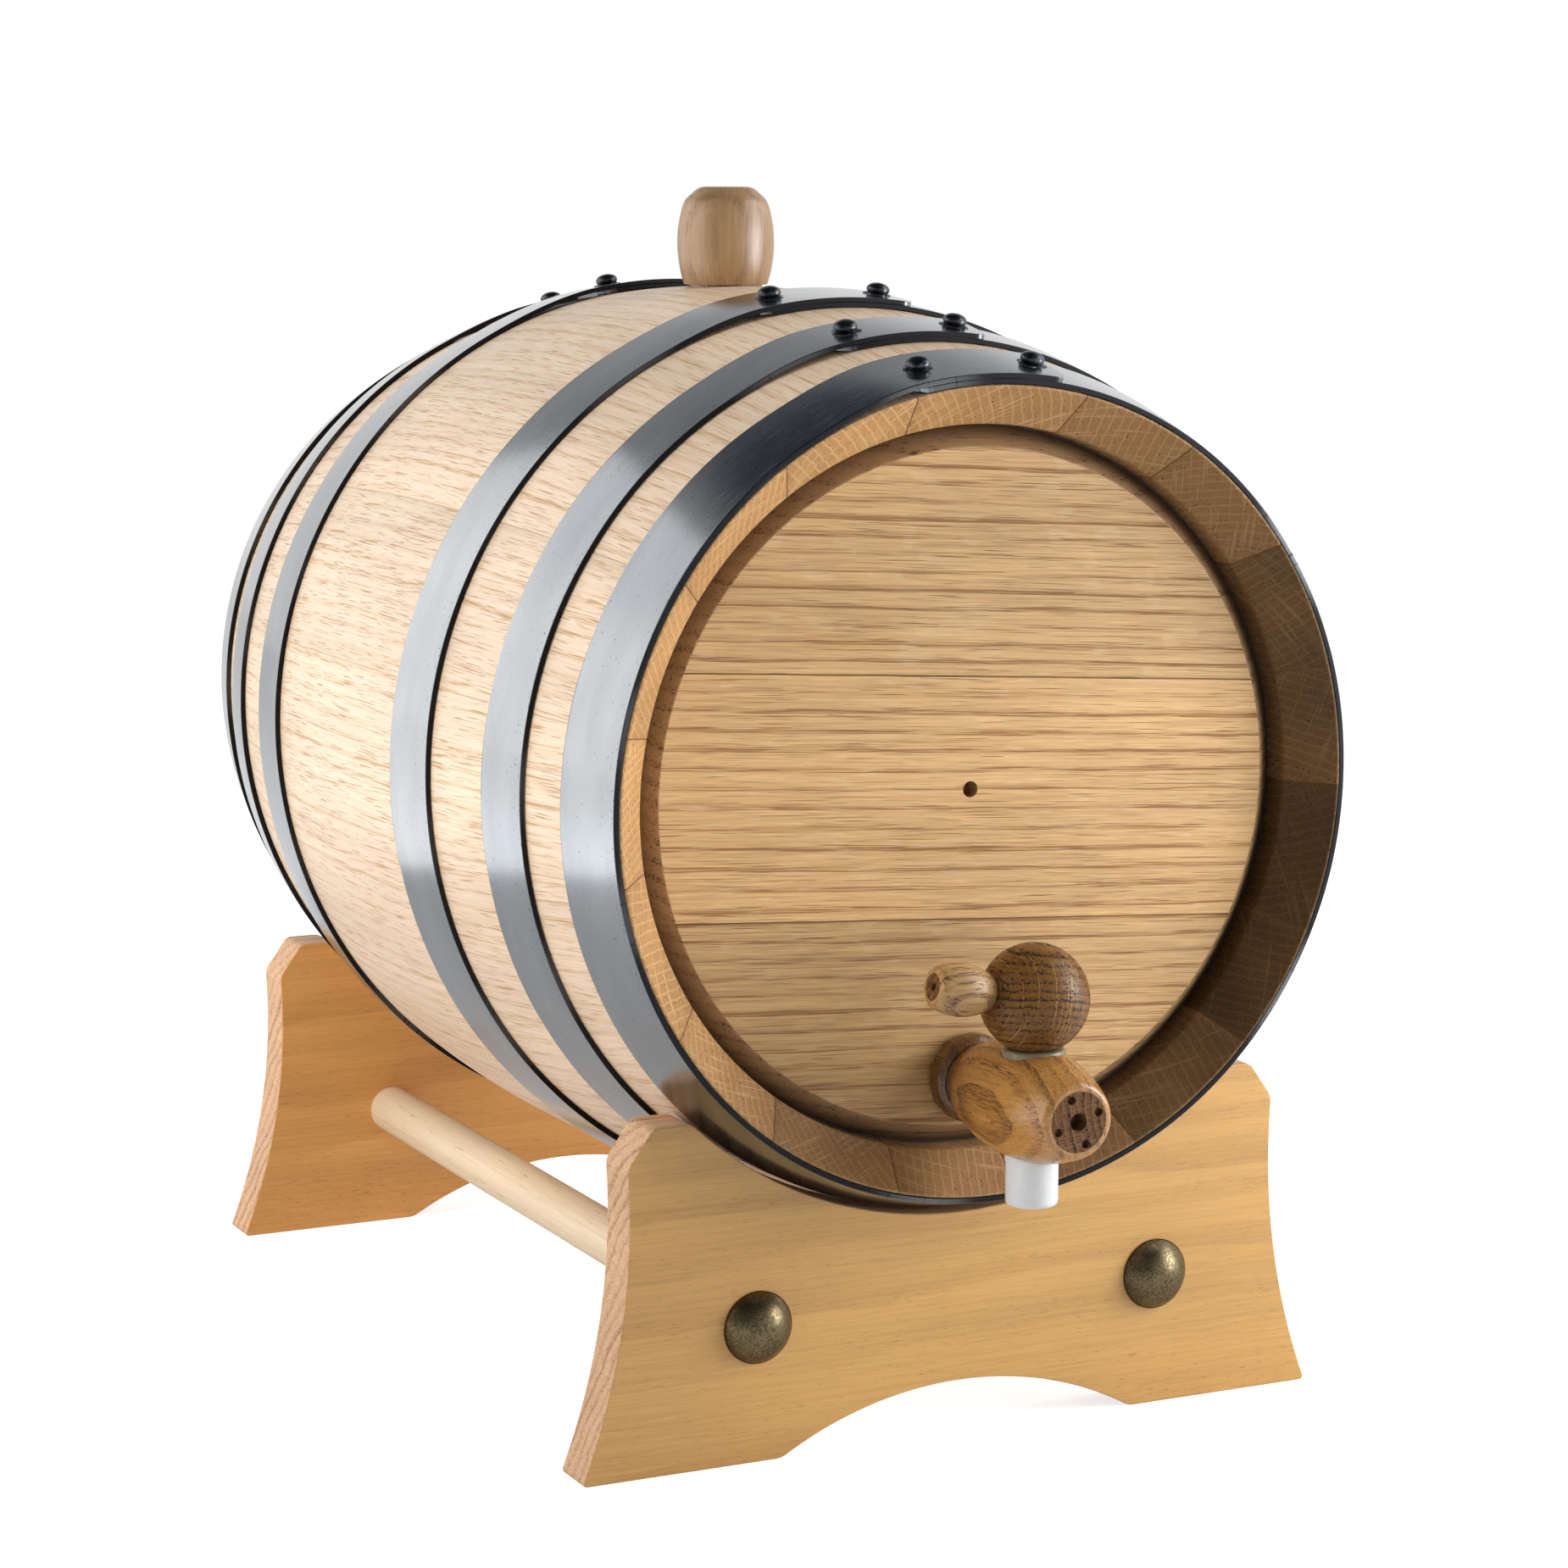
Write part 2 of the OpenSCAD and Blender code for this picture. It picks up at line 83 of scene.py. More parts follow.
WALL_LIGHT, CAMERA_SIDE_LIGHT, CEILING_LIGHT = 0.66, 0.14, 0.36
UPPER_WALL_SEEN = (0.46, 0.47, 0.49, 1)
CEILING_SEEN = (0.045, 0.055, 0.075, 1)
CAMERA_SIDE_SEEN = 0.35
UPPER_WALL_ANGLES, CEILING_ANGLES = (17, 33), (42, 47.5)
WALL_FADE, SEEN_FADE, CEILING_FADE = (-0.1, 0.8), (0.35, 0.85), (0.45, 0.75)
TOWARD_CAMERA = (-0.80, -0.60, 0)
WHITE = (1, 1, 1, 1)


def add_node(tree, kind, inputs=None, **settings):
    """A shader node: settings are its properties, inputs its sockets by name or number."""
    made = tree.nodes.new("ShaderNode" + kind)
    for name, value in settings.items():
        setattr(made, name, value)
    for name, value in (inputs or {}).items():
        if isinstance(value, bpy.types.NodeSocket):
            tree.links.new(value, made.inputs[name])
        else:
            made.inputs[name].default_value = value
    return made


def reckon(tree, operation, *values):
    """The result of a Math node."""
    return add_node(tree, "Math", dict(enumerate(values)), operation=operation).outputs[0]


def eased_step(tree, value, low, high, start=0.0, end=1.0):
    """A smooth rise from start, at the value low, to end, at the value high."""
    ends = {"Value": value, "From Min": low, "From Max": high, "To Min": start, "To Max": end}
    return add_node(tree, "MapRange", ends, interpolation_type="SMOOTHSTEP").outputs[0]


def blend_colour(tree, factor, first, second, blend_type="MIX"):
    """Two colours mixed by a factor."""
    return add_node(tree, "Mix", {0: factor, 6: first, 7: second}, data_type="RGBA",
                    blend_type=blend_type).outputs[2]


def seen_directly(tree):
    """1 for what the camera, a mirror or clear glass shows, and 0 for what only gives light."""
    path = add_node(tree, "LightPath").outputs
    either = reckon(tree, "MAXIMUM", path["Is Camera Ray"], path["Is Glossy Ray"])
    return reckon(tree, "MAXIMUM", either, path["Is Transmission Ray"])


world = bpy.data.worlds.new("white room")
world.use_nodes = True
room = world.node_tree
room.nodes.clear()
direction = add_node(room, "TexCoord").outputs["Generated"]
height = add_node(room, "SeparateXYZ", {0: direction}).outputs["Z"]
to_camera_side = add_node(room, "VectorMath", {0: direction, 1: TOWARD_CAMERA},
                          operation="DOT_PRODUCT").outputs[1]
walls = eased_step(room, to_camera_side, *WALL_FADE, WALL_LIGHT, CAMERA_SIDE_LIGHT)
ceiling = eased_step(room, height, *CEILING_FADE)
strength = reckon(room, "ADD", reckon(room, "MULTIPLY", walls, reckon(room, "SUBTRACT", 1.0, ceiling)),
                  reckon(room, "MULTIPLY", ceiling, CEILING_LIGHT))
light = add_node(room, "Background", {"Color": WHITE, "Strength": strength})
upper_wall = eased_step(room, height, *(math.sin(math.radians(angle)) for angle in UPPER_WALL_ANGLES))
dark_ceiling = eased_step(room, height, *(math.sin(math.radians(angle)) for angle in CEILING_ANGLES))
sky = blend_colour(room, upper_wall, WHITE, UPPER_WALL_SEEN)
sky = blend_colour(room, dark_ceiling, sky, CEILING_SEEN)
brightness = eased_step(room, to_camera_side, *SEEN_FADE, 1.0, CAMERA_SIDE_SEEN)
seen = add_node(room, "Background", {"Color": sky, "Strength": brightness})
both = add_node(room, "MixShader", {0: seen_directly(room), 1: light.outputs[0], 2: seen.outputs[0]})
add_node(room, "OutputWorld", {"Surface": both.outputs[0]})
bpy.context.scene.world = world
bpy.context.scene.view_settings.view_transform = "Standard"


def add_window(name, place, aim, size, watts, colour, mirrored=True, lights=True):
    """An area lamp of (width, height) metres at place, which faces the point aim. Mirrored, it shows
    in metal and varnish, and with lights off that is all it does."""
    lamp = bpy.data.lights.new(name, "AREA")
    lamp.shape = "RECTANGLE"
    lamp.size, lamp.size_y = size
    lamp.energy = watts
    lamp.color = colour
    made = bpy.data.objects.new(name, lamp)
    made.location = place
    made.rotation_euler = (Vector(aim) - Vector(place)).to_track_quat("-Z", "Y").to_euler()
    made.visible_camera = False
    made.visible_glossy = mirrored
    made.visible_diffuse = lights
    bpy.context.scene.collection.objects.link(made)


add_window("left panel", (-0.350, 0.100, 0.237), (-0.250, 0.004, 0.237), (0.56, 0.47), 0.85,
           (0.97, 0.99, 1.0), lights=False)
add_window("left window", (-0.66, 0.03, 0.50), (0, 0.02, 0.13), (0.24, 0.50), 3.05,
           (0.80, 0.89, 1.0), mirrored=False)
add_window("low window", (-0.52, -0.02, 0.11), (0, 0.03, 0.07), (0.12, 0.18), 0.62,
           (1.0, 0.97, 0.91), mirrored=False)
add_window("front window", (0.364, -0.295, 0.19), (0, -0.085, 0.10), (0.22, 0.26), 1.7,
           (0.93, 0.97, 1.0))
add_window("high window", (0.75, -0.20, 0.70), (0, -0.05, 0.12), (0.60, 0.60), 3.0,
           (0.96, 0.98, 1.0))

# ------------------------------------------------------------------ floor
# White paper that glows up to white for the camera and keeps the object's shadow. Mirrored in metal
# and varnish it glows less, and least near the cask, as a painted shadow of the cask.

FLOOR_HALF = 4.0
FLOOR_WHITE = 0.75
FLOOR_GLOW = 0.74
# Painted shadow: the glow that metal and varnish mirror drops near the cask.
NEAR_GLOW, FAR_GLOW = 0.12, 0.50
NEAR_REACH, FAR_REACH = 0.29, 0.39

floor_mesh = bpy.data.meshes.new("floor")
floor_corners = [(x * FLOOR_HALF, y * FLOOR_HALF, 0) for x, y in ((-1, -1), (1, -1), (1, 1), (-1, 1))]
floor_mesh.from_pydata(floor_corners, [], [(0, 1, 2, 3)])
floor = bpy.data.objects.new("floor", floor_mesh)
bpy.context.scene.collection.objects.link(floor)
paper = bpy.data.materials.new("white floor")
paper.use_nodes = True
tree = paper.node_tree
tree.nodes.clear()
matt = add_node(tree, "BsdfDiffuse", {"Color": (FLOOR_WHITE, FLOOR_WHITE, FLOOR_WHITE, 1)})
path = add_node(tree, "LightPath").outputs
straight = reckon(tree, "MAXIMUM", path["Is Camera Ray"], path["Is Transmission Ray"])
spot = add_node(tree, "TexCoord").outputs["Object"]
away = add_node(tree, "VectorMath", {0: spot}, operation="LENGTH").outputs[1]
mirrored = reckon(tree, "MULTIPLY", path["Is Glossy Ray"],
                  eased_step(tree, away, NEAR_REACH, FAR_REACH, NEAR_GLOW, FAR_GLOW))
strength = reckon(tree, "MULTIPLY_ADD", straight, FLOOR_GLOW, mirrored)
glow = add_node(tree, "Emission", {"Strength": strength})
both = add_node(tree, "AddShader", {0: matt.outputs[0], 1: glow.outputs[0]})
add_node(tree, "OutputMaterial", {"Surface": both.outputs[0]})
floor_mesh.materials.append(paper)

# ------------------------------------------------------------------ staves
# 17 staves of pale oak, bent and planed round, with the croze and the bevelled chime cut into both
# ends. The ends show dark end grain, darker on the right with painted shade, the inside is toasted,
# and the bung stave has the bunghole.

RNG = np.random.default_rng(17)
AXIS_Y = (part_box("stave_09")[0].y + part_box("stave_09")[1].y) / 2 / MM
AXIS_H = 122.0
HALF_L = 107.5
END_R, BILGE_R = 74.0, 88.5
STAVE_T = 11.5
CHIME_R, CHIME_DEPTH, CHIME_LAND = 66.6, 7.9, 0.5
CROZE_AT, CROZE_W, CROZE_R = 13.5, 5.0, 69.5
STAVE_SPANS = np.array([27, 19, 21, 20, 18, 22, 19, 22.5, 20, 19.5, 22, 21, 23, 20.5, 22, 21.5, 22])
FIRST_JOINT = -13.0
ARRIS, ARRIS_W = 0.10, 0.24
BUNG_Y, BUNGHOLE_R = AXIS_Y + 7, 7.5
BULGE = BILGE_R - END_R
ARC_R = (HALF_L**2 + BULGE**2) / (2 * BULGE)
SANDED = 0.022
# The angle round which painted shade darkens the chime's end grain, and how deep it goes.
PAINTED_SHADE_SIDE, PAINTED_SHADE_DEPTH = 112, 0.90
EASE_POINTS, FLAT_RUN = 4, 1.35
WELD = 0.002
INNER_HALF = HALF_L - CROZE_AT - CROZE_W
INNER_BULGE = BILGE_R - STAVE_T - CHIME_R
INNER_ARC_R = (INNER_HALF**2 + INNER_BULGE**2) / (2 * INNER_BULGE)


def wood_r(z):
    """Radius of the staves' outside, an arc, at z along the axis from the cask's middle."""
    return np.sqrt(ARC_R**2 - np.square(z)) - ARC_R + BILGE_R


def on_cask(angle, radius, z):
    """Points at an angle clockwise from the top, a radius and a distance z forward along the axis."""
    turn = np.radians(angle)
    x, h = radius * np.sin(turn), AXIS_H + radius * np.cos(turn)
    return np.stack(np.broadcast_arrays(x, AXIS_Y - z, h), -1)


def cask_angle(points):
    """Angles clockwise from the top, radii and distances forward of points in the part's frame."""
    x, h = points[:, 0], points[:, 2] - AXIS_H
    return np.degrees(np.arctan2(x, h)), np.hypot(x, h), AXIS_Y - points[:, 1]


def grid_quads(rows, columns, wrap_rows=False, wrap_columns=False):
    """The quads between neighbours on a grid whose point (row, column) is row * columns + column."""
    i = np.arange(rows if wrap_rows else rows - 1)[:, None]
    j = np.arange(columns if wrap_columns else columns - 1)[None, :]
    below, beside = (i + 1) % rows, (j + 1) % columns
    return np.stack(np.broadcast_arrays(i * columns + j, i * columns + beside, below * columns + beside,
                                        below * columns + j), -1).reshape(-1, 4)


def eased(corners):
    """A polyline of rows (x, y, ease) with its corners rounded: a quadratic curve leaves each side at
    the distance ease from the corner, and a point FLAT_RUN times as far out keeps the side flat. Ease
    0 keeps the corner."""
    corners = np.asarray(corners, float)
    p, ease = corners[:, None, :2], corners[:, None, 2:]
    back, on = np.roll(p, 1, 0) - p, np.roll(p, -1, 0) - p
    back, on = (d / np.maximum(np.linalg.norm(d, axis=2, keepdims=True), 1e-9) * ease for d in (back, on))
    t = np.linspace(0, 1, EASE_POINTS)[None, :, None]
    curve = (1 - t)**2 * (p + back) + 2 * t * (1 - t) * p + t**2 * (p + on)
    rows = np.concatenate([p + FLAT_RUN * back, curve, p + FLAT_RUN * on], 1)
    keep = np.broadcast_to(ease[:, :, 0] > 0, rows.shape[:2]).copy()
    keep[:, 0] = True
    return rows[keep]


def inward(outline):
    """Unit normals of a closed outline, to the left of its run."""
    run = np.roll(outline, -1, 0) - np.roll(outline, 1, 0)
    run /= np.maximum(np.linalg.norm(run, axis=1, keepdims=True), 1e-9)
    return np.stack([-run[:, 1], run[:, 0]], 1)


def make_solid(name, parts):
    """An object of parts (points in mm, faces, material). Points within WELD of each other are merged,
    and the faces turned outwards."""
    mesh = bpy.data.meshes.new(name)
    points = [np.reshape(part[0], (-1, 3)) for part in parts]
    starts = np.cumsum([0] + [len(p) for p in points])
    faces = [face for part, start in zip(parts, starts) for face in (part[1] + start).tolist()]
    mesh.from_pydata((np.concatenate(points) * MM).tolist(), [], faces)
    slots = list(dict.fromkeys(part[2] for part in parts))
    for material in slots:
        mesh.materials.append(material)
    index = np.concatenate([np.full(len(part[1]), slots.index(part[2])) for part in parts])
    mesh.polygons.foreach_set("material_index", index.astype(np.int32))
    work = bmesh.new()
    work.from_mesh(mesh)
    bmesh.ops.remove_doubles(work, verts=work.verts, dist=WELD * MM)
    bmesh.ops.recalc_face_normals(work, faces=work.faces)
    work.to_mesh(mesh)
    work.free()
    made = bpy.data.objects.new(name, mesh)
    bpy.context.scene.collection.objects.link(made)
    return made


def cut(solid, parts, operation="DIFFERENCE"):
    """Cuts a solid of parts out of another solid, or keeps only what both hold."""
    cutter = make_solid("cutter", parts)
    modifier = solid.modifiers.new("cut", "BOOLEAN")
    modifier.object = cutter
    modifier.operation = operation
    modifier.solver = "EXACT"
    modifier.material_mode = "TRANSFER"
    left = bpy.data.meshes.new_from_object(solid.evaluated_get(bpy.context.evaluated_depsgraph_get()))
    solid.modifiers.clear()
    solid.data = left
    bpy.data.objects.remove(cutter)


def finish_piece(solid, body, slot, nodes, sharp=35, **attributes):
    """Shades a piece, gives it attributes computed from its points in mm, and ties it to the frame."""
    mesh = solid.data
    points = np.empty(len(mesh.vertices) * 3, np.float32)
    mesh.vertices.foreach_get("co", points)
    points = points.reshape(-1, 3).astype(float) / MM
    for name, value in attributes.items():
        values = value(points) if callable(value) else np.full(len(points), float(value))
        kind, field = ("FLOAT_VECTOR", "vector") if np.ndim(values) == 2 else ("FLOAT", "value")
        attribute = mesh.attributes.new(name, kind, "POINT")
        attribute.data.foreach_set(field, np.ravel(values).astype(np.float32))
    mesh.shade_smooth()
    mesh.set_sharp_from_angle(angle=math.radians(sharp))
    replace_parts(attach(solid, body), *nodes)


def grain(across, over, along, lean, pith, shift=0.0):
    """Wood coordinates: the grain runs along +Z, and the tree's pith lies on their Z axis, at the
    distance pith from the piece. At lean 0 the rings lie flat under the face that `over` rises from."""
    a = math.radians(lean)
    return np.stack([pith + over * math.cos(a) + across * math.sin(a),
                     across * math.cos(a) - over * math.sin(a), along + shift], -1)


def make_oak_group():
    """Oak from wood coordinates: wandering year rings, long dark vessels that crowd in the early wood,
    and thin rays that cross the rings, all cut by the piece's surface as a saw would. Spacing, Length
    and Width are in mm, Band is a share of a ring, and the others are strengths."""
    group = bpy.data.node_groups.new("oak", "ShaderNodeTree")
    sockets = (("Wood", "Vector", None), ("Pale", "Color", None), ("Ring", "Color", None),
               ("Pore", "Color", None), ("Ray", "Color", None), ("Spacing", "Float", 2.6),
               ("Band", "Float", 0.6), ("Wander", "Float", 1.2), ("Pores", "Float", 0.5),
               ("Crowding", "Float", 0.15), ("Length", "Float", 7.0), ("Width", "Float", 0.32),
               ("Rays", "Float", 0.3), ("Arcs", "Float", 0.0), ("Fibre", "Float", 0.36),
               ("Tone", "Float", 0.0))
    for name, kind, value in sockets:
        socket = group.interface.new_socket(name, in_out="INPUT", socket_type="NodeSocket" + kind)
        if value is not None:
            socket.default_value = value
    group.interface.new_socket("Color", in_out="OUTPUT", socket_type="NodeSocketColor")
    group.interface.new_socket("Height", in_out="OUTPUT", socket_type="NodeSocketFloat")
    group.interface.new_socket("Open", in_out="OUTPUT", socket_type="NodeSocketFloat")
    given = group.nodes.new("NodeGroupInput").outputs
    axes = add_node(group, "SeparateXYZ", {0: given["Wood"]}).outputs
    radius = reckon(group, "SQRT", reckon(group, "ADD", reckon(group, "MULTIPLY", axes[0], axes[0]),
                                         reckon(group, "MULTIPLY", axes[1], axes[1])))
    around = reckon(group, "MULTIPLY", reckon(group, "ARCTAN2", axes[1], axes[0]), radius)
    polar = add_node(group, "CombineXYZ", {0: radius, 1: around, 2: axes[2]}).outputs[0]

    def noise(size, detail, roughness=0.5):
        """Noise stretched to spots of the given size in mm: away from the pith, round it and along it."""
        whole = add_node(group, "CombineXYZ", dict(enumerate(size))).outputs[0]
        place = add_node(group, "VectorMath", {0: polar, 1: whole}, operation="DIVIDE").outputs[0]
        return add_node(group, "TexNoise", {"Vector": place, "Scale": 1.0, "Detail": detail,
                                            "Roughness": roughness}).outputs[0]

    wander = reckon(group, "SUBTRACT", noise((14, 14, 90), 2.0), 0.5)
    wander = reckon(group, "MULTIPLY", wander, given["Wander"])
    ripple = reckon(group, "MULTIPLY", reckon(group, "SUBTRACT", noise((2.2, 2.2, 22), 1.0), 0.5), 0.7)
    uneven = reckon(group, "ADD", radius, reckon(group, "MULTIPLY_ADD", wander, 2.0, ripple))
    rings = reckon(group, "DIVIDE", uneven, given["Spacing"])
    chance = add_node(group, "TexWhiteNoise", {"W": reckon(group, "FLOOR", rings)},
                      noise_dimensions="1D").outputs[0]
    year = reckon(group, "FRACT", rings)
    fade_start = reckon(group, "MULTIPLY", given["Band"], 0.3)
    band = reckon(group, "MULTIPLY", eased_step(group, year, 0.0, 0.06),
                  eased_step(group, year, fade_start, given["Band"], 1.0, 0.0))
    band = reckon(group, "MULTIPLY", band, reckon(group, "MULTIPLY_ADD", chance, 0.7, 0.3))
    streak = eased_step(group, noise((0.55, 0.8, 40), 3.0, 0.65), 0.40, 0.66)
    early = reckon(group, "ADD", reckon(group, "MULTIPLY", band, 0.6),
                   reckon(group, "MULTIPLY", streak, 0.4))
    fibre = noise((0.20, 0.20, 11), 3.0, 0.65)
    cloud = noise((17, 17, 80), 1.0)
    crowd = noise((3.2, 3.2, 26), 1.0)
    vessel = noise((given["Width"], given["Width"], given["Length"]), 1.0, 0.45)
    crowd = reckon(group, "ADD", reckon(group, "MULTIPLY", band, given["Crowding"]),
                   reckon(group, "MULTIPLY", crowd, 0.16))
    many = reckon(group, "ADD", reckon(group, "MULTIPLY", given["Pores"], 0.20), crowd)
    gate = reckon(group, "SUBTRACT", 0.86, many)
    pore = eased_step(group, reckon(group, "SUBTRACT", vessel, gate), 0.0, 0.08)
    ray = eased_step(group, noise((24, 0.42, 7), 1.0), 0.58, 0.68)
    ray = reckon(group, "MULTIPLY", ray, given["Rays"])
    late = reckon(group, "ABSOLUTE", reckon(group, "SUBTRACT", year, 0.85))
    arc = reckon(group, "MULTIPLY", eased_step(group, late, 0.04, 0.14, 1.0, 0.0), given["Arcs"])
    colour = blend_colour(group, early, given["Pale"], given["Ring"])
    grey = reckon(group, "MULTIPLY_ADD", reckon(group, "SUBTRACT", fibre, 0.5), given["Fibre"], 1.0)
    shade = reckon(group, "ADD", grey,
                   reckon(group, "ADD", reckon(group, "MULTIPLY_ADD", cloud, 0.40, -0.20), given["Tone"]))
    colour = blend_colour(group, reckon(group, "MAXIMUM", ray, arc), colour, given["Ray"])
    colour = blend_colour(group, reckon(group, "MULTIPLY", pore, 0.85), colour, given["Pore"])
    colour = blend_colour(group, 1.0, colour, add_node(
        group, "CombineColor", {0: shade, 1: shade, 2: shade}).outputs[0], "MULTIPLY")
    relief = reckon(group, "SUBTRACT", reckon(group, "MULTIPLY", fibre, 0.4), pore)
    add = group.nodes.new("NodeGroupOutput").inputs
    for name, value in (("Color", colour), ("Height", relief), ("Open", pore)):
        group.links.new(value, add[name])
    return group


OAK = make_oak_group()


def make_wood(name, pale, ring, pore, ray, roughness=0.5, relief=0.12, seam=None, gloss=0.5, shade="tone",
              **amounts):
    """A wood finish over the oak group. The attribute named shade lightens or darkens it, and a second
    attribute blends in the colour given for it: 1 at the dark joints between staves, and on the heads
    1 in the rim's corner as painted shade."""
    material = bpy.data.materials.new(name)
    material.use_nodes = True
    tree = material.node_tree
    tree.nodes.clear()
    wood = add_node(tree, "Attribute", attribute_name="wood").outputs["Vector"]
    tone = add_node(tree, "Attribute", attribute_name=shade).outputs["Fac"]
    oak = add_node(tree, "Group", node_tree=OAK)
    for socket, value in (("Wood", wood), ("Tone", tone)):
        tree.links.new(value, oak.inputs[socket])
    for socket, value in (("Pale", pale), ("Ring", ring), ("Pore", pore), ("Ray", ray)):
        oak.inputs[socket].default_value = (*value, 1)
    for socket, value in amounts.items():
        oak.inputs[socket.capitalize()].default_value = value
    colour = oak.outputs["Color"]
    if seam:
        joint_and_shade = add_node(tree, "Attribute", attribute_name="seam").outputs["Fac"]
        colour = blend_colour(tree, joint_and_shade, colour, (*seam, 1))
    bump = add_node(tree, "Bump", {"Height": oak.outputs["Height"], "Strength": 0.6,
                                   "Distance": relief * MM})
    rough = reckon(tree, "MULTIPLY_ADD", oak.outputs["Open"], 0.25, roughness)
    shader = add_node(tree, "BsdfPrincipled", {"Base Color": colour, "Roughness": rough,
                                               "Specular IOR Level": gloss, "Normal": bump.outputs[0]})
    add_node(tree, "OutputMaterial", {"Surface": shader.outputs[0]})
    return material


stave_oak = make_wood("pale oak", (0.86, 0.635, 0.440), (0.72, 0.455, 0.24), (0.55, 0.30, 0.13),
                      (0.90, 0.73, 0.55), roughness=0.42, relief=0.07, seam=(0.66, 0.45, 0.26), gloss=1.0,
                      spacing=3.2, band=0.45, wander=1.6, pores=0.86, crowding=0.10, length=7.0,
                      width=0.22, rays=0.30, fibre=0.30)
# Its shade attribute holds each stave's own tone and the painted shade round the right.
chime_oak = make_wood("end grain oak", (0.49, 0.258, 0.100), (0.58, 0.33, 0.14), (0.14, 0.056, 0.018),
                      (0.76, 0.49, 0.24), roughness=0.40, relief=0.08, seam=(0.20, 0.10, 0.04),
                      gloss=0.15, shade="end_tone", spacing=1.8, band=0.3, wander=0.6, pores=0.50,
                      rays=0.65, arcs=0.50)
toasted_oak = make_wood("toasted oak", (0.26, 0.14, 0.06), (0.17, 0.08, 0.035), (0.05, 0.025, 0.012),
                        (0.30, 0.17, 0.08), roughness=0.7, relief=0.15, spacing=3.0, wander=1.6,
                        pores=0.6, rays=0.3)


def stave_outline():
    """Points (z, radius) of a stave's long section, from the rear end along the outside arc, round the
    front end and back along the inside, and the kind of each: 0 outside, 1 chime, 2 inside."""
    z = np.linspace(-HALF_L, HALF_L, 64)
    outside = np.stack([z, wood_r(z) - SANDED], 1)
    end = eased([(HALF_L, END_R, 0.15), (HALF_L, END_R - CHIME_LAND, 0.15),
                 (HALF_L - CHIME_DEPTH, CHIME_R, 0.5), (HALF_L - CROZE_AT, CHIME_R, 0.2),
                 (HALF_L - CROZE_AT, CROZE_R, 0.2), (INNER_HALF, CROZE_R, 0.2),
                 (INNER_HALF, CHIME_R, 0.3)])[1:]
    w = np.linspace(INNER_HALF - 1, 1 - INNER_HALF, 30)
    inside = np.stack([w, np.sqrt(INNER_ARC_R**2 - w**2) - INNER_ARC_R + BILGE_R - STAVE_T], 1)
    points = np.concatenate([outside[1:-1], end, inside, end[::-1] * (-1, 1)])
    # The chime's short inner wall is long grain, but takes the dark end-grain finish as painted shade.
    inner = np.abs(points[:, 0]) < HALF_L - CROZE_AT + 0.01
    skin = np.arange(len(points)) < len(outside) - 2
    return points, np.where(skin, 0, np.where(inner, 2, 1))


def stave_parts(first, last):
    """One stave: its long section turned from the first to the last angle. Near both joints the
    section shrinks by a small hollow, which leaves the worn arris between the staves."""
    outline, kind = stave_outline()
    near = np.array([0, 0.06, 0.14, 0.24]) / BILGE_R
    steps = np.radians(last - first) * np.concatenate([[0], np.linspace(0, 1, 15)[1:-1], [1]])
    turn = np.sort(np.concatenate([near, steps[1:-1], steps[-1] - near]))
    gap = np.minimum(turn, turn[-1] - turn) * BILGE_R
    worn = ARRIS * np.maximum(0, 1 - gap / ARRIS_W)**2
    shape = outline[:, None] - inward(outline)[:, None] * worn[None, :, None]
    points = on_cask(first + np.degrees(turn)[None, :], shape[..., 1], shape[..., 0])
    rows, columns = points.shape[:2]
    quads = grid_quads(rows, columns, wrap_rows=True)
    kinds = np.repeat(np.maximum(kind, np.roll(kind, -1) * (kind > 0)), columns - 1)
    caps = np.stack([np.arange(rows) * columns, np.arange(rows) * columns + columns - 1])
    woods = (stave_oak, chime_oak, toasted_oak)
    return [(points, quads[kinds == k], woods[k]) for k in range(3)] + [(points, caps, chime_oak)]


def stave_grain(middle, lean, pith, shift):
    """The grain follows the stave's bend, and the rings cross its face at the lean."""
    def coordinates(points):
        angle, radius, z = cask_angle(points)
        across = np.radians((angle - middle + 180) % 360 - 180) * radius
        return grain(across, radius - wood_r(z), ARC_R * np.arcsin(z / ARC_R), lean, pith, shift)
    return coordinates


def stave_seam(first, last):
    """1 in the joints beside a stave and 0 away from them."""
    def seam(points):
        angle = cask_angle(points)[0]
        away = np.minimum((angle - first + 90) % 360 - 90, (last - angle + 90) % 360 - 90)
        return np.clip(1.15 - np.radians(np.abs(away)) * BILGE_R / ARRIS_W, 0, 1)
    return seam


def turned(profile, place, steps=96, whole=True):
    """Rows (radius, height) turned full circle, and placed. A profile that starts and ends on the
    axis gives a closed solid."""
    profile = np.asarray(profile, float)
    turn = np.linspace(0, 2 * np.pi, steps, endpoint=False)
    local = np.stack(np.broadcast_arrays(profile[:, :1] * np.cos(turn), profile[:, :1] * np.sin(turn),
                                         profile[:, 1:2]), -1)
    return place(local), grid_quads(len(profile), steps, wrap_rows=not whole, wrap_columns=True)


def placed(origin, axis, side=(1, 0, 0)):
    """A place: its +Z axis runs along axis from the origin, and its +X axis is near side."""
    z = np.array(axis, float) / np.linalg.norm(axis)
    x = np.array(side, float) - z * np.dot(side, z)
    x /= np.linalg.norm(x)
    turn = np.stack([x, np.cross(z, x), z])
    return lambda local: local @ turn + np.array(origin, float)


def rod(radius, low, high, place, steps=64):
    """A plain cylinder to cut with."""
    return turned([(0, low), (radius, low), (radius, high), (0, high)], place, steps)


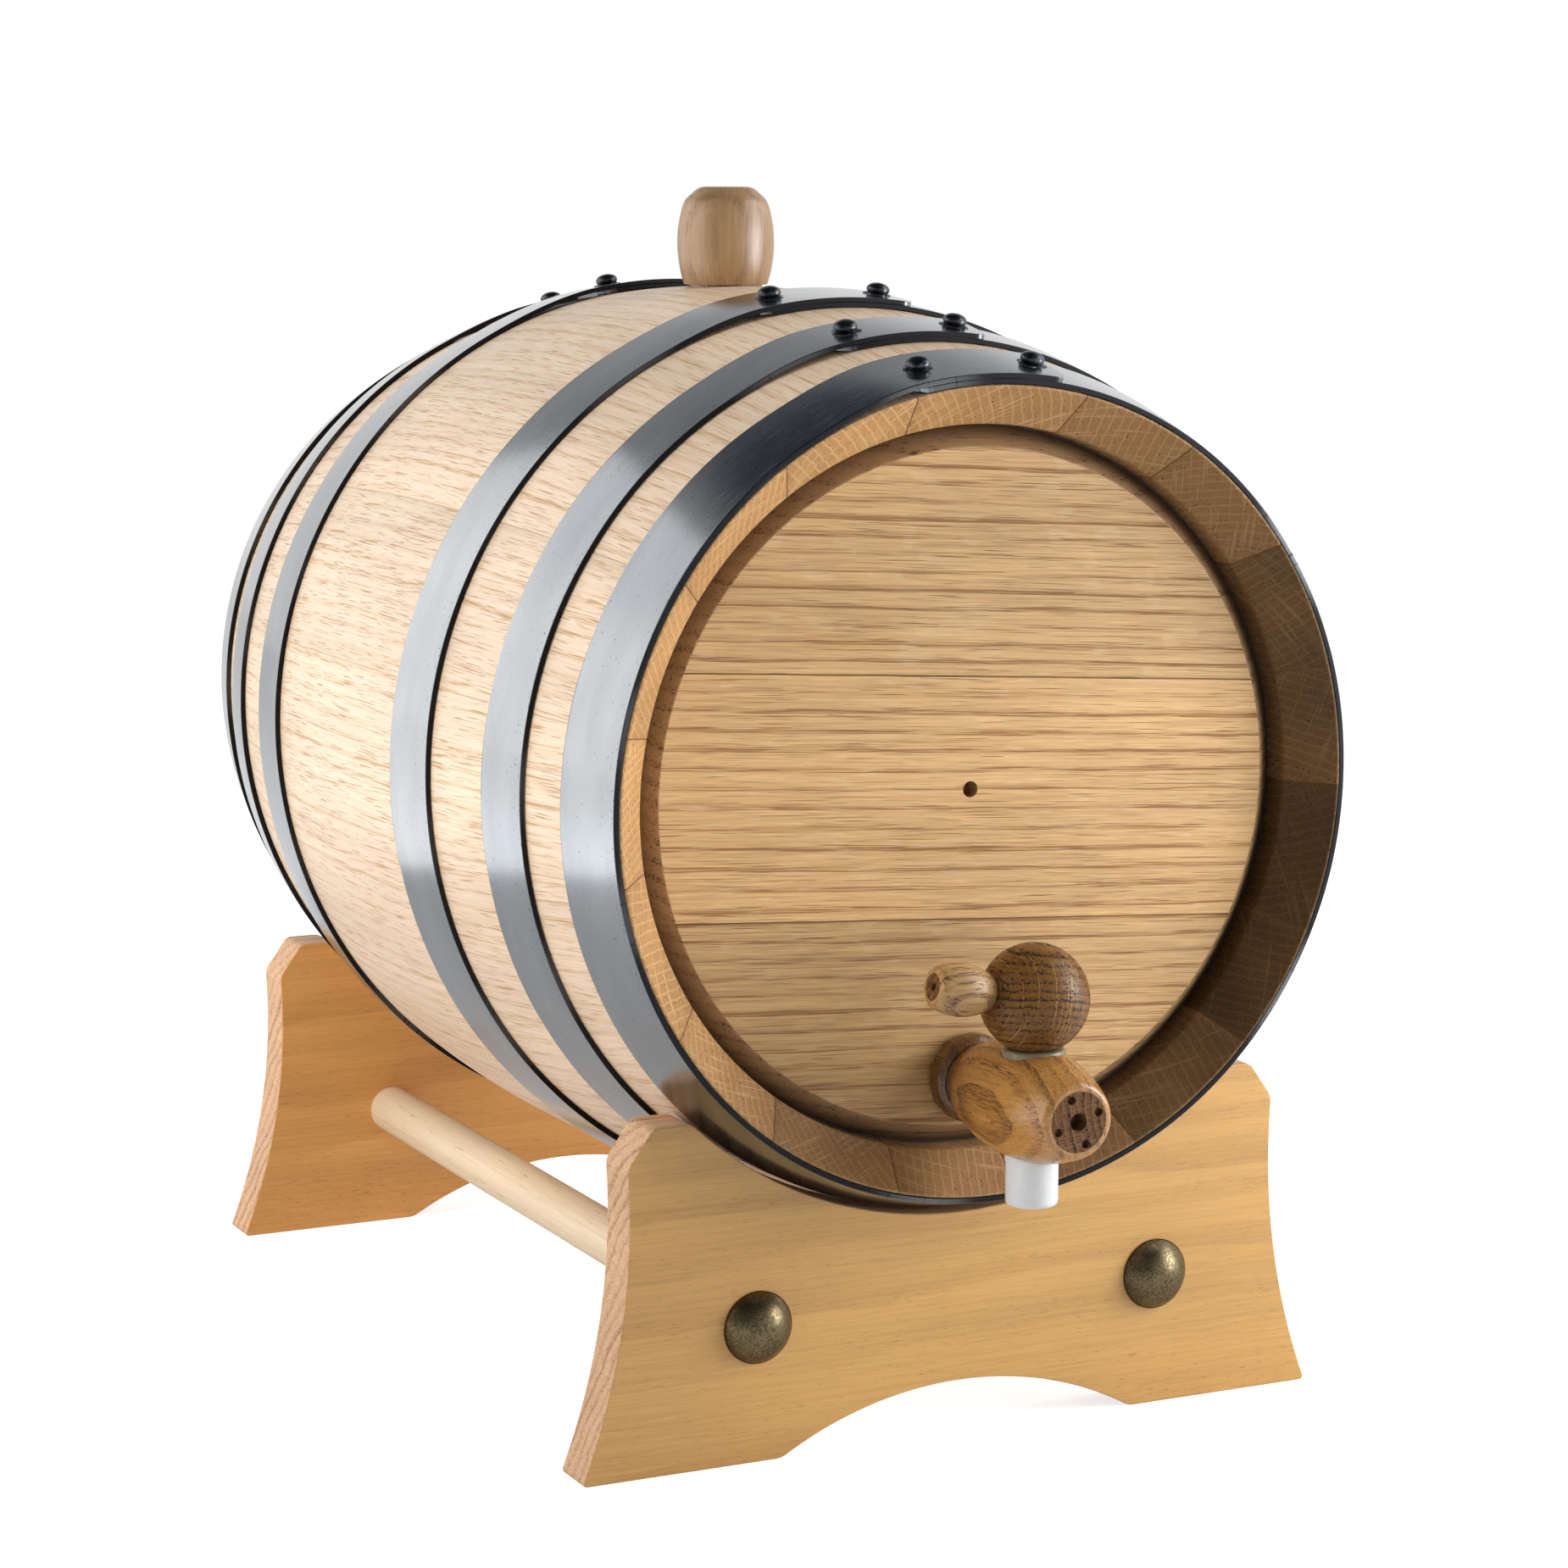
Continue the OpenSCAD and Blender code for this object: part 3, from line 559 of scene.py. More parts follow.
joints = FIRST_JOINT + np.concatenate([[0], np.cumsum(STAVE_SPANS)])
for i, (first, last) in enumerate(zip(joints[:-1], joints[1:])):
    node = f"stave_{i + 1:02d}"
    stave = make_solid(node + "_oak", stave_parts(first, last))
    if i == 0:
        cut(stave, [(*rod(BUNGHOLE_R, 60, 100, placed((0, BUNG_Y, AXIS_H), (0, 0, 1))), toasted_oak)])
    lean = RNG.choice([-1, 1]) * RNG.uniform(50, 84)
    # Painted shade: the end grain is coloured darker round the right, where the chime is unlit.
    painted_shade = 0.5 + 0.5 * math.cos(math.radians((first + last) / 2 - PAINTED_SHADE_SIDE))
    finish_piece(stave, "cask", "stave_oak", [node], tone=RNG.uniform(-0.05, 0.05),
                 end_tone=RNG.uniform(0.0, 0.16) - PAINTED_SHADE_DEPTH * painted_shade**1.4,
                 wood=stave_grain((first + last) / 2, lean, RNG.uniform(90, 170), RNG.uniform(0, 900)),
                 seam=stave_seam(first, last))

# ------------------------------------------------------------------ heads
# Each head is three oak boards pinned edge to edge and turned to a disc, with a bevelled rim whose
# tongue sits in the croze. The front head has the tap hole low and the centre hole of its turning.

HEAD_FACE, HEAD_T = HALF_L - 9.5, 10.0
HEAD_FLAT_R, HEAD_RIM_R, HEAD_EDGE_R = 62.5, 66.3, 69.3
HEAD_JOINTS = (-24.0, 20.7)
FRONT_TURN, REAR_TURN = 3.5, 6.0
TAP_DROP = 53.4
TAP_SHANK_R = 6.5
CENTRE_HOLE_R, CENTRE_HOLE_DEPTH = 1.5, 4.0
GROOVE_W, GROOVE_DEPTH = 0.16, 0.25
# Width of the painted shade in the corner between a head's rim and the chime.
RIM_SHADE_W = 1.6
BOARD_LEANS, BOARD_PITHS, BOARD_TONES = (78, 66, 84), (120, 90, 150), (-0.08, 0.02, -0.09)
HEADS = (("front", FRONT_TURN, 1), ("rear", REAR_TURN, -1))

# The near-black joint colour of the head woods is painted shade in the rim's corner.
head_oak = make_wood("head oak", (0.725, 0.438, 0.180), (0.48, 0.235, 0.074), (0.33, 0.14, 0.040),
                     (0.82, 0.58, 0.31), roughness=0.50, relief=0.20, seam=(0.04, 0.022, 0.011),
                     spacing=3.2, band=0.42, wander=0.9, pores=0.66, crowding=0.26, length=13.0,
                     width=0.17, rays=0.25, fibre=1.0)
# Darker than the head's face: partly end grain, partly painted shade from the chime over the rim.
rim_oak_painted_shade = make_wood("head rim oak with painted shade", (0.48, 0.285, 0.13), (0.33, 0.175, 0.07), (0.12, 0.06, 0.025),
                    (0.48, 0.30, 0.15), roughness=0.6, relief=0.15, seam=(0.035, 0.02, 0.01), spacing=3.0,
                    wander=1.2, pores=0.6, length=12.0, rays=0.3)


def head_disc(place):
    """A whole head: its half section, flat face outwards, turned full circle."""
    back, tongue = HEAD_FACE - HEAD_T, HALF_L - CROZE_AT
    face = eased([(0, HEAD_FACE, 0), (HEAD_FLAT_R, HEAD_FACE, 0.3), (HEAD_RIM_R, tongue, 0.2)])[:-1]
    edge = eased([(HEAD_RIM_R, tongue, 0), (HEAD_EDGE_R, tongue, 0.3), (HEAD_EDGE_R, INNER_HALF, 0.3),
                  (HEAD_RIM_R, INNER_HALF, 0.2), (HEAD_RIM_R - 1, back, 0.3), (0, back, 0)])
    flat = face[:, 0] < HEAD_FLAT_R - 0.1
    front = face[flat]
    rim = np.concatenate([front[-1:], face[~flat], edge[:1]])
    return [(*turned(front, place, 256), head_oak), (*turned(rim, place, 256), rim_oak_painted_shade),
            (*turned(edge, place, 256), head_oak)]


def block(low, high, place):
    """A box to cut with, between two corners of a place."""
    x, y, z = np.meshgrid(*zip(low, high), indexing="ij")
    corners = place(np.stack([x, y, z], -1).reshape(-1, 3))
    sides = [(0, 1, 3, 2), (4, 6, 7, 5), (0, 4, 5, 1), (2, 3, 7, 6), (0, 2, 6, 4), (1, 5, 7, 3)]
    return corners, np.array(sides)


def groove(height, place):
    """The V between two boards: a long prism whose edge lies GROOVE_DEPTH below the head's face, where
    its sides are GROOVE_W to either side."""
    span, top = HEAD_EDGE_R + 5, HEAD_FACE + 1
    rise = GROOVE_W * (1 + 1 / GROOVE_DEPTH)
    section = np.array([(height, HEAD_FACE - GROOVE_DEPTH), (height + rise, top), (height - rise, top)])
    x = np.array([-span, span])[:, None]
    points = np.stack(np.broadcast_arrays(x, section[None, :, 0], section[None, :, 1]), -1).reshape(-1, 3)
    sides, ends = np.array([(0, 1, 4, 3), (1, 2, 5, 4), (2, 0, 3, 5)]), np.array([(0, 2, 1), (3, 4, 5)])
    return [(place(points), sides, rim_oak_painted_shade), (place(points), ends, rim_oak_painted_shade)]


def head_grain(place_turn, facing, lean, pith, shift):
    """The grain runs level along the boards, and the rings stand across their thickness."""
    def coordinates(points):
        x, h = points[:, 0], points[:, 2] - AXIS_H
        turn = math.radians(place_turn)
        along = x * math.cos(turn) - h * math.sin(turn)
        across = x * math.sin(turn) + h * math.cos(turn)
        return grain(across, (AXIS_Y - points[:, 1]) * facing - HEAD_FACE, along, lean, pith, shift)
    return coordinates


def rim_corner_painted_shade(points):
    """Painted shade: 0 on a head's flat, rising to 1 in the corner between its rim and the chime."""
    return np.clip((cask_angle(points)[1] - HEAD_RIM_R + RIM_SHADE_W) / RIM_SHADE_W, 0, 1)**2


for side, board_turn, facing in HEADS:
    a = math.radians(board_turn)
    along_boards = (math.cos(a) * facing, 0, -math.sin(a) * facing)
    facing_place = placed((0, AXIS_Y, AXIS_H), (0, -facing, 0), along_boards)
    limits = (-HEAD_EDGE_R - 5, *HEAD_JOINTS, HEAD_EDGE_R + 5)
    for k in range(3):
        board = make_solid(f"{side}_head_board_{k + 1}_oak", head_disc(facing_place))
        for height in HEAD_JOINTS:
            cut(board, groove(height, facing_place))
        if side == "front" and k == 0:
            tap_hole = placed((0, AXIS_Y, AXIS_H - TAP_DROP), (0, -1, 0))
            cut(board, [(*rod(TAP_SHANK_R + 0.05, HEAD_FACE - 12, HEAD_FACE + 2, tap_hole), rim_oak_painted_shade)])
        if side == "front" and k == 1:
            hole = rod(CENTRE_HOLE_R, HEAD_FACE - CENTRE_HOLE_DEPTH, HEAD_FACE + 2, facing_place)
            cut(board, [(*hole, rim_oak_painted_shade)])
        width = block((-80, limits[k], 0), (80, limits[k + 1], HALF_L), facing_place)
        cut(board, [(*width, rim_oak_painted_shade)], "INTERSECT")
        finish_piece(board, "cask", "head_oak", [f"{side}_head_board_{k + 1}"], tone=BOARD_TONES[k],
                     wood=head_grain(board_turn, facing, BOARD_LEANS[k], BOARD_PITHS[k],
                                     400 * k + 100 * facing),
                     seam=rim_corner_painted_shade)

# ------------------------------------------------------------------ head pins
# Short beech pins, eight in all, driven into the edges of the head boards before the heads are
# turned. They hold the boards level and stay hidden in the wood.


def make_plain(name, colour, darker, size, roughness, metallic=0.0, relief=0.02, grime=None):
    """A finish mottled between two colours, with spots of the given size in mm. A further colour, if
    given, takes over where the attribute named like its argument is 1."""
    material = bpy.data.materials.new(name)
    material.use_nodes = True
    tree = material.node_tree
    tree.nodes.clear()
    place = add_node(tree, "TexCoord").outputs["Object"]
    spots = add_node(tree, "TexNoise", {"Vector": place, "Scale": 1 / (size * MM),
                                        "Detail": 3.0}).outputs[0]
    base = blend_colour(tree, eased_step(tree, spots, 0.3, 0.7), (*darker, 1), (*colour, 1))
    if grime:
        darker_share = add_node(tree, "Attribute", attribute_name="grime").outputs["Fac"]
        base = blend_colour(tree, darker_share, base, (*grime, 1))
    bump = add_node(tree, "Bump", {"Height": spots, "Strength": 0.4, "Distance": relief * MM})
    shader = add_node(tree, "BsdfPrincipled", {"Base Color": base, "Roughness": roughness,
                                               "Metallic": metallic, "Normal": bump.outputs[0]})
    add_node(tree, "OutputMaterial", {"Surface": shader.outputs[0]})
    return material


def dress(node, material):
    """Gives a CAD node that stays shown its material."""
    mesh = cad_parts[node].data
    mesh.materials.clear()
    mesh.materials.append(material)


dress("head_pins", make_plain("pin beech", (0.62, 0.42, 0.24), (0.50, 0.32, 0.17), 1.5, 0.6))

# ------------------------------------------------------------------ hoops
# Six strips of dark hoop steel, brushed along their length and driven onto the cask. Each is one
# strip whose ends lap at the top, where the outer end rises over the inner one.

HOOP_T, HOOP_PLAY = 0.92, 0.1
HOOP_EASE, END_CORNER = 0.18, 2.2
LAP_RUN = 3.2
LAP_RISE = 17.0
WEAR_W = 4
# Each hoop's name, its rear and front edge, the angle of its lap and that between the lap's rivets.
HOOPS = (("front_head_hoop", HALF_L - 15, HALF_L - 0.1, -1, 17),
         ("front_quarter_hoop", HALF_L - 39.7, HALF_L - 27, -2, 15.5),
         ("front_bilge_hoop", HALF_L - 74.8, HALF_L - 59.8, -1, 15),
         ("rear_bilge_hoop", 59.8 - HALF_L, 74.8 - HALF_L, 0, 15),
         ("rear_quarter_hoop", 27 - HALF_L, 39.7 - HALF_L, 1, 15.5),
         ("rear_head_hoop", 0.1 - HALF_L, 15 - HALF_L, 1, 17))


def make_hoop_steel():
    """Brushed steel with fine scratches along the strip, dark specks that crowd toward its worn front
    edge, and black cut edges. The attribute strip holds the distance along and across the strip."""
    material = bpy.data.materials.new("hoop steel")
    material.use_nodes = True
    tree = material.node_tree
    tree.nodes.clear()
    strip = add_node(tree, "Attribute", attribute_name="strip").outputs["Vector"]
    edge = add_node(tree, "Attribute", attribute_name="edge").outputs["Fac"]
    worn = add_node(tree, "Attribute", attribute_name="worn").outputs["Fac"]

    def noise(x, y, detail=2.0):
        """Noise stretched to spots of x mm along the strip and y mm across it."""
        place = add_node(tree, "VectorMath", {0: strip, 1: (1 / x, 1 / y, 1)}, operation="MULTIPLY")
        return add_node(tree, "TexNoise", {"Vector": place.outputs[0], "Scale": 1.0,
                                           "Detail": detail}).outputs[0]

    brushing = noise(22, 0.16)
    scratches = eased_step(tree, noise(9, 0.09, 1.0), 0.62, 0.75)
    cloud = noise(26, 7)
    spots = reckon(tree, "ADD", noise(0.7, 0.5, 1.0), reckon(tree, "MULTIPLY", worn, 0.07))
    specks = eased_step(tree, spots, 0.70, 0.78)
    steel = blend_colour(tree, eased_step(tree, cloud, 0.35, 0.7), (0.285, 0.293, 0.302, 1),
                         (0.32, 0.328, 0.336, 1))
    steel = blend_colour(tree, reckon(tree, "MULTIPLY", brushing, 0.3), steel, (0.36, 0.366, 0.375, 1))
    steel = blend_colour(tree, specks, steel, (0.10, 0.11, 0.12, 1))
    steel = blend_colour(tree, edge, steel, (0.02, 0.02, 0.022, 1))
    rough = reckon(tree, "ADD", reckon(tree, "MULTIPLY_ADD", brushing, 0.10, 0.11),
                   reckon(tree, "MULTIPLY_ADD", scratches, 0.10, reckon(tree, "MULTIPLY", edge, 0.30)))
    relief = reckon(tree, "SUBTRACT", brushing, reckon(tree, "MULTIPLY", scratches, 0.6))
    bump = add_node(tree, "Bump", {"Height": relief, "Strength": 0.3, "Distance": 0.015 * MM})
    shader = add_node(tree, "BsdfPrincipled", {"Base Color": steel, "Metallic": 1.0, "Roughness": rough,
                                               "Normal": bump.outputs[0]})
    add_node(tree, "OutputMaterial", {"Surface": shader.outputs[0]})
    return material


hoop_steel = make_hoop_steel()


def hoop_parts(low, high, lap_middle, rivet_angle, phase):
    """A strip wound once round the cask and on over its own start. It follows the staves' arc, its
    edges are rounded and run in a slight wave, its ends have rounded corners, and over the angle
    LAP_RISE before the lap it rises by its thickness."""
    lap = rivet_angle + 2 * LAP_RUN
    start = lap_middle - lap / 2
    angle = np.concatenate([np.linspace(start, start + 360 - LAP_RISE - 2, 260, endpoint=False),
                            np.linspace(start + 360 - LAP_RISE - 2, start + 360 + lap, 70)])
    rise = np.clip((angle - start - 360 + LAP_RISE) / LAP_RISE, 0, 1)
    rise = HOOP_T * rise**2 * (3 - 2 * rise)
    turn = np.radians(angle)
    wave = 0.05 * np.sin(5 * turn + phase) + 0.04 * np.sin(11 * turn + 2 * phase)
    from_end = np.minimum(angle - start, angle[-1] - angle) * math.radians(1) * END_R
    narrow = END_CORNER * np.maximum(0, 1 - from_end / END_CORNER)**2
    half = (high - low) / 2
    section = eased([(-half, 0, HOOP_EASE), (-half, HOOP_T, HOOP_EASE), (half, HOOP_T, HOOP_EASE),
                     (half, 0, HOOP_EASE)])
    inner = np.linspace(half - 0.5, 0.5 - half, 7)
    outer = np.linspace(0.5 - half, half - 0.5, 7)
    two_corners = 2 * (EASE_POINTS + 2)
    section = np.concatenate([section[:two_corners], np.stack([outer, np.full(7, HOOP_T)], 1),
                              section[two_corners:], np.stack([inner, np.zeros(7)], 1)])
    z = (low + high) / 2 + section[None, :, 0] * (1 - narrow / half)[:, None] + (wave * 1.2)[:, None]
    z = np.clip(z, low, high)
    lift = HOOP_PLAY + section[None, :, 1] + rise[:, None] + np.abs(wave)[:, None] * 0.5
    radius = np.sqrt((ARC_R + lift)**2 - z**2) - ARC_R + BILGE_R
    points = on_cask(angle[:, None], radius, z)
    rows, columns = points.shape[:2]
    caps = np.stack([np.arange(columns), (rows - 1) * columns + np.arange(columns)])
    quads = grid_quads(rows, columns, wrap_columns=True)
    return [(points, quads, hoop_steel), (points, caps, hoop_steel)]


def strip_place(points):
    """The distance along and across a hoop's strip, in mm."""
    angle, _, z = cask_angle(points)
    return np.stack([np.radians((angle + 180) % 360) * BILGE_R, z, np.zeros(len(z))], 1)


def strip_edge(low, high):
    """1 on the black cut edges of a strip, and 0 on its face."""
    def edge(points):
        z = cask_angle(points)[2]
        return np.clip(1.2 - np.minimum(z - low, high - z) / HOOP_EASE, 0, 1)
    return edge


def strip_wear(high):
    """1 along a strip's front edge, fading to 0 at WEAR_W from it."""
    return lambda points: np.clip(1 - (high - cask_angle(points)[2]) / WEAR_W, 0, 1)


for phase, (node, low, high, lap_middle, rivet_angle) in enumerate(HOOPS):
    hoop = make_solid(node + "_steel", hoop_parts(low, high, lap_middle, rivet_angle, phase))
    finish_piece(hoop, "cask", "hoop_steel", [node], strip=strip_place, edge=strip_edge(low, high),
                 worn=strip_wear(high))

# ------------------------------------------------------------------ hoop rivets
# Blackened steel rivets that close the hoops, two in each lap. The hammer leaves a button head that
# stands on a spread, uneven foot.

RIVET_HEAD_R, RIVET_HEAD_H, DOME_AT = 2.25, 2.3, 1.0
RIVET_FOOT_R = 2.7


def rivet_parts(z, angle, material, phase):
    """A rivet's head: a button on a wavy foot, turned round the line square to the staves."""
    base = ARC_R + HOOP_PLAY + 2 * HOOP_T
    tilt = math.asin(z / ARC_R)
    out = math.radians(angle)
    middle = on_cask(angle, BILGE_R - ARC_R, 0.0)
    axis = np.array([math.sin(out) * math.cos(tilt), -math.sin(tilt), math.cos(out) * math.cos(tilt)])
    place = placed(middle, axis, (0, 1, 0))
    swell = np.linspace(-0.5, np.pi / 2, 13)
    dome = np.stack([RIVET_HEAD_R * np.cos(swell), DOME_AT + (RIVET_HEAD_H - DOME_AT) * np.sin(swell)], 1)
    foot = [(0, -1.6), (1.2, -1.6), (1.2, -0.1), (RIVET_FOOT_R, -0.1), (RIVET_FOOT_R, 0.12),
            (RIVET_FOOT_R - 0.35, 0.28)]
    profile = np.concatenate([foot, dome])
    points, quads = turned(profile + (0, base), placed((0, 0, 0), (0, 0, 1)), 40)
    turn = np.arctan2(points[..., 1], points[..., 0])
    spread = (np.hypot(points[..., 0], points[..., 1]) > RIVET_HEAD_R + 0.05) * 0.07
    wave = 1 + spread * (np.sin(3 * turn + phase) + 0.7 * np.sin(7 * turn + 2.1 * phase))
    points[..., :2] *= wave[..., None]
    return place(points), quads, material


rivet_steel = make_plain("rivet steel", (0.10, 0.105, 0.115), (0.035, 0.036, 0.04), 0.8, 0.30,
                         metallic=1.0, relief=0.05)
rivets = [rivet_parts((low + high) / 2, lap_middle + side * rivet_angle / 2, rivet_steel, 2.3 * k + side)
          for k, (_, low, high, lap_middle, rivet_angle) in enumerate(HOOPS) for side in (-1, 1)]
finish_piece(make_solid("hoop_rivets_steel", rivets), "cask", "rivet_steel", ["hoop_rivets"], sharp=50)

# ------------------------------------------------------------------ bung
# A knob and its plug, turned in one piece from oak and cut slanting round the crown. The plug tapers
# into the bunghole and holds there by its fit alone.

KNOB_R, KNOB_H, KNOB_ARC_R, KNOB_BELLY = 9.8, 19.5, 26.0, 8.3
KNOB_ARC_END, BEVEL_AT, CROWN_R = KNOB_H - 4.1, 16.8, 5.4
PLUG_R, PLUG_TAPER_AT, PLUG_L = 7.4, 10.0, 26.0
BUNG_BASE = AXIS_H + wood_r(BUNG_Y - AXIS_Y) + 0.25

bung_oak = make_wood("bung oak", (0.38, 0.215, 0.090), (0.24, 0.12, 0.044), (0.16, 0.075, 0.03),
                     (0.50, 0.31, 0.15), roughness=0.38, relief=0.05, gloss=1.0, spacing=3.4, wander=2.0,
                     pores=0.25, length=4.0, rays=0.4)


def knob_side(z):
    """Radius of the knob's belly, an arc, at z above the staves."""
    return KNOB_R - KNOB_ARC_R + np.sqrt(KNOB_ARC_R**2 - (z - KNOB_BELLY)**2)


arc = np.linspace(0, KNOB_ARC_END, 26)
crown = eased([(knob_side(arc[-1]), arc[-1], 0), (knob_side(BEVEL_AT), BEVEL_AT, 0.9),
               (CROWN_R, KNOB_H, 1.2), (0, KNOB_H, 0)])
bung_profile = np.concatenate([
    eased([(0, -PLUG_L, 0), (PLUG_R - 1.2, -PLUG_L, 0.5), (PLUG_R, -PLUG_TAPER_AT, 0.6), (PLUG_R, 0, 0)]),
    np.stack([knob_side(arc), arc], 1)[:-1], crown])
bung_place = placed((0, BUNG_Y, BUNG_BASE), (0, 0, 1))
bung = make_solid("bung_oak", [(*turned(bung_profile, bung_place), bung_oak)])
finish_piece(bung, "bung", "bung_oak", ["bung"], tone=0.0,
             wood=lambda p: grain(p[:, 0], p[:, 1] - BUNG_Y, p[:, 2], 35, 38))

# ------------------------------------------------------------------ tap body
# Turned from dark oiled oak, with a collar against the head, a waist, a long belly and a tail
# through the head. The lathe's centre left a pit and four prong marks on the front face.

TAP_Y = AXIS_Y - HEAD_FACE
TAP_H = AXIS_H - TAP_DROP
TAP_L, TAP_R, TAP_ARC_R, TAP_BELLY_AT = 40.8, 10.5, 45.0, 22.5
COLLAR_R, COLLAR_L = 8.3, 4.6
NECK_R, NECK_L = 6.6, 1.6
TAIL_L, TAIL_R = 30.0, 5.0
KEY_AT, SEAT_H = 24.5, 8.7
FLANGE_R, SLEEVE_R = 5.8, 4.95
BORE_R = 2.2
PIT_R, PIT_FLOOR_R, PRONG_AT, PRONG_R = 1.7, 1.5, 4.3, 0.8
# Painted shade on the tap's collar: how dark, where it ends and over how many mm it fades.
PAINTED_COLLAR_SHADE, COLLAR_SHADE_END, COLLAR_SHADE_FADE = -0.58, COLLAR_L + 6, 5

tap_oak = make_wood("tap oak", (0.50, 0.235, 0.060), (0.22, 0.085, 0.018), (0.09, 0.034, 0.009),
                    (0.62, 0.32, 0.09), roughness=0.22, relief=0.06, gloss=0.7, spacing=2.4, band=0.55,
                    wander=1.8, pores=0.58, length=4.0, width=0.22, rays=0.35, fibre=1.1)
ball_oak = make_wood("tap ball oak", (0.22, 0.095, 0.021), (0.085, 0.031, 0.007), (0.018, 0.007, 0.002),
                     (0.38, 0.20, 0.06), roughness=0.30, relief=0.10, gloss=0.25, spacing=1.4, band=0.60,
                     wander=0.6, pores=0.82, crowding=0.22, length=2.4, width=0.34, rays=0.75, arcs=0.05)
tap_end = make_wood("tap end grain", (0.180, 0.078, 0.027), (0.062, 0.025, 0.0095), (0.020, 0.009, 0.004),
                    (0.28, 0.150, 0.060), roughness=0.5, relief=0.14, gloss=0.2, spacing=1.5, band=0.6,
                    wander=0.8, pores=0.80, rays=0.5, arcs=0.4)
tap_hollow = make_wood("tap hollow", (0.20, 0.10, 0.04), (0.12, 0.055, 0.02), (0.04, 0.018, 0.008),
                       (0.26, 0.15, 0.07), roughness=0.6, relief=0.1, spacing=2.6, wander=1.4, pores=0.7,
                       rays=0.6)


def tap_side(z):
    """Radius of the tap's belly, an arc, at z forward from the head's face."""
    return TAP_R - TAP_ARC_R + np.sqrt(TAP_ARC_R**2 - (z - TAP_BELLY_AT)**2)


def tap_collar_painted_shade(points):
    """Painted shade: darkest on the collar against the head, and fading along the start of the belly."""
    return PAINTED_COLLAR_SHADE * np.clip((COLLAR_SHADE_END - TAP_Y + points[:, 1]) / COLLAR_SHADE_FADE, 0, 1)


belly_start = COLLAR_L + NECK_L
belly = np.linspace(belly_start + 0.8, TAP_L - 1.2, 30)
tap_profile = np.concatenate([
    eased([(0, -TAIL_L, 0), (TAIL_R, -TAIL_L, 0.5), (TAP_SHANK_R, -HEAD_T, 0.5), (TAP_SHANK_R, 0, 0)]),
    eased([(TAP_SHANK_R, 0.02, 0), (COLLAR_R - 0.8, 0.02, 0.3), (COLLAR_R, 0.8, 0.4),
           (COLLAR_R, COLLAR_L - 1.2, 0.5), (COLLAR_R - 1.2, COLLAR_L, 0.4), (NECK_R, COLLAR_L, 0.2),
           (NECK_R, belly_start, 0.2), (tap_side(belly_start), belly_start, 0.25),
           (tap_side(belly[0]), belly[0], 0)]),
    np.stack([tap_side(belly), belly], 1)[1:],
    eased([(tap_side(belly[-1]), belly[-1], 0), (tap_side(TAP_L), TAP_L, 0.8), (0, TAP_L, 0)])[1:-1]])
tap_face = [tap_profile[-1], (0, TAP_L)]
tap_place = placed((0, TAP_Y, TAP_H), (0, -1, 0))
key_place = placed((0, TAP_Y - KEY_AT, TAP_H), (0, 0, 1))
tap = make_solid("tap_body_oak", [(*turned(tap_profile, tap_place, 128), tap_oak),
                                  (*turned(tap_face, tap_place, 128), tap_end)])
cut(tap, [(*rod(FLANGE_R + 0.1, SEAT_H, 30, key_place), tap_oak)])
cut(tap, [(*rod(SLEEVE_R + 0.05, -30, 30, key_place), tap_hollow)])
cut(tap, [(*rod(BORE_R, -TAIL_L - 1, KEY_AT, tap_place), tap_hollow)])
pit = [(0, TAP_L - 4), (PIT_FLOOR_R, TAP_L - 3.6), (PIT_R, TAP_L + 1), (0, TAP_L + 1)]
cut(tap, [(*turned(pit, tap_place, 32), tap_hollow)])
for turn in np.radians([20, 110, 200, 290]):
    mark = placed((PRONG_AT * math.cos(turn), TAP_Y, TAP_H + PRONG_AT * math.sin(turn)), (0, -1, 0))
    cut(tap, [(*rod(PRONG_R, TAP_L - 1.2, TAP_L + 1, mark, 20), tap_hollow)])
finish_piece(tap, "cask", "tap_oak", ["tap_body"], tone=tap_collar_painted_shade,
             wood=lambda p: grain(p[:, 0], p[:, 2] - TAP_H, -p[:, 1], 262, 27, 40))

# ------------------------------------------------------------------ tap sleeve
# A tube moulded in white plastic and pushed down through the tap body, with a thin flange under the
# ball and the spout below. The flange is coloured a darker brown.

SPOUT_DROP, SPOUT_R, SLEEVE_BORE_R = 18.5, 4.75, 3.2
FLANGE_T = 1.5
PORT_R = 1.8


def make_plastic(name, colour, roughness, grime=None):
    """Smooth moulded plastic with a faint flow mottling."""
    darker = tuple(c * 0.93 for c in colour)
    return make_plain(name, colour, darker, 3.0, roughness, relief=0.01, grime=grime)


spout_plastic = make_plastic("spout plastic", (0.775, 0.785, 0.775), 0.30, grime=(0.25, 0.20, 0.12))
spout_profile = eased([
    (SLEEVE_BORE_R, SEAT_H + FLANGE_T, 0.15), (SLEEVE_BORE_R, -SPOUT_DROP, 0.4),
    (SPOUT_R, -SPOUT_DROP, 0.8), (SPOUT_R, -TAP_R, 0.05), (SLEEVE_R, -TAP_R, 0.05),
    (SLEEVE_R, SEAT_H, 0.1), (FLANGE_R, SEAT_H, 0.15), (FLANGE_R, SEAT_H + FLANGE_T, 0.6)])
sleeve = make_solid("tap_sleeve_plastic", [(*turned(spout_profile, key_place, 96, whole=False),
                                            spout_plastic)])
port_place = placed((0, TAP_Y - KEY_AT, TAP_H), (0, 1, 0))
cut(sleeve, [(*rod(PORT_R, 0, 9, port_place, 32), spout_plastic)])
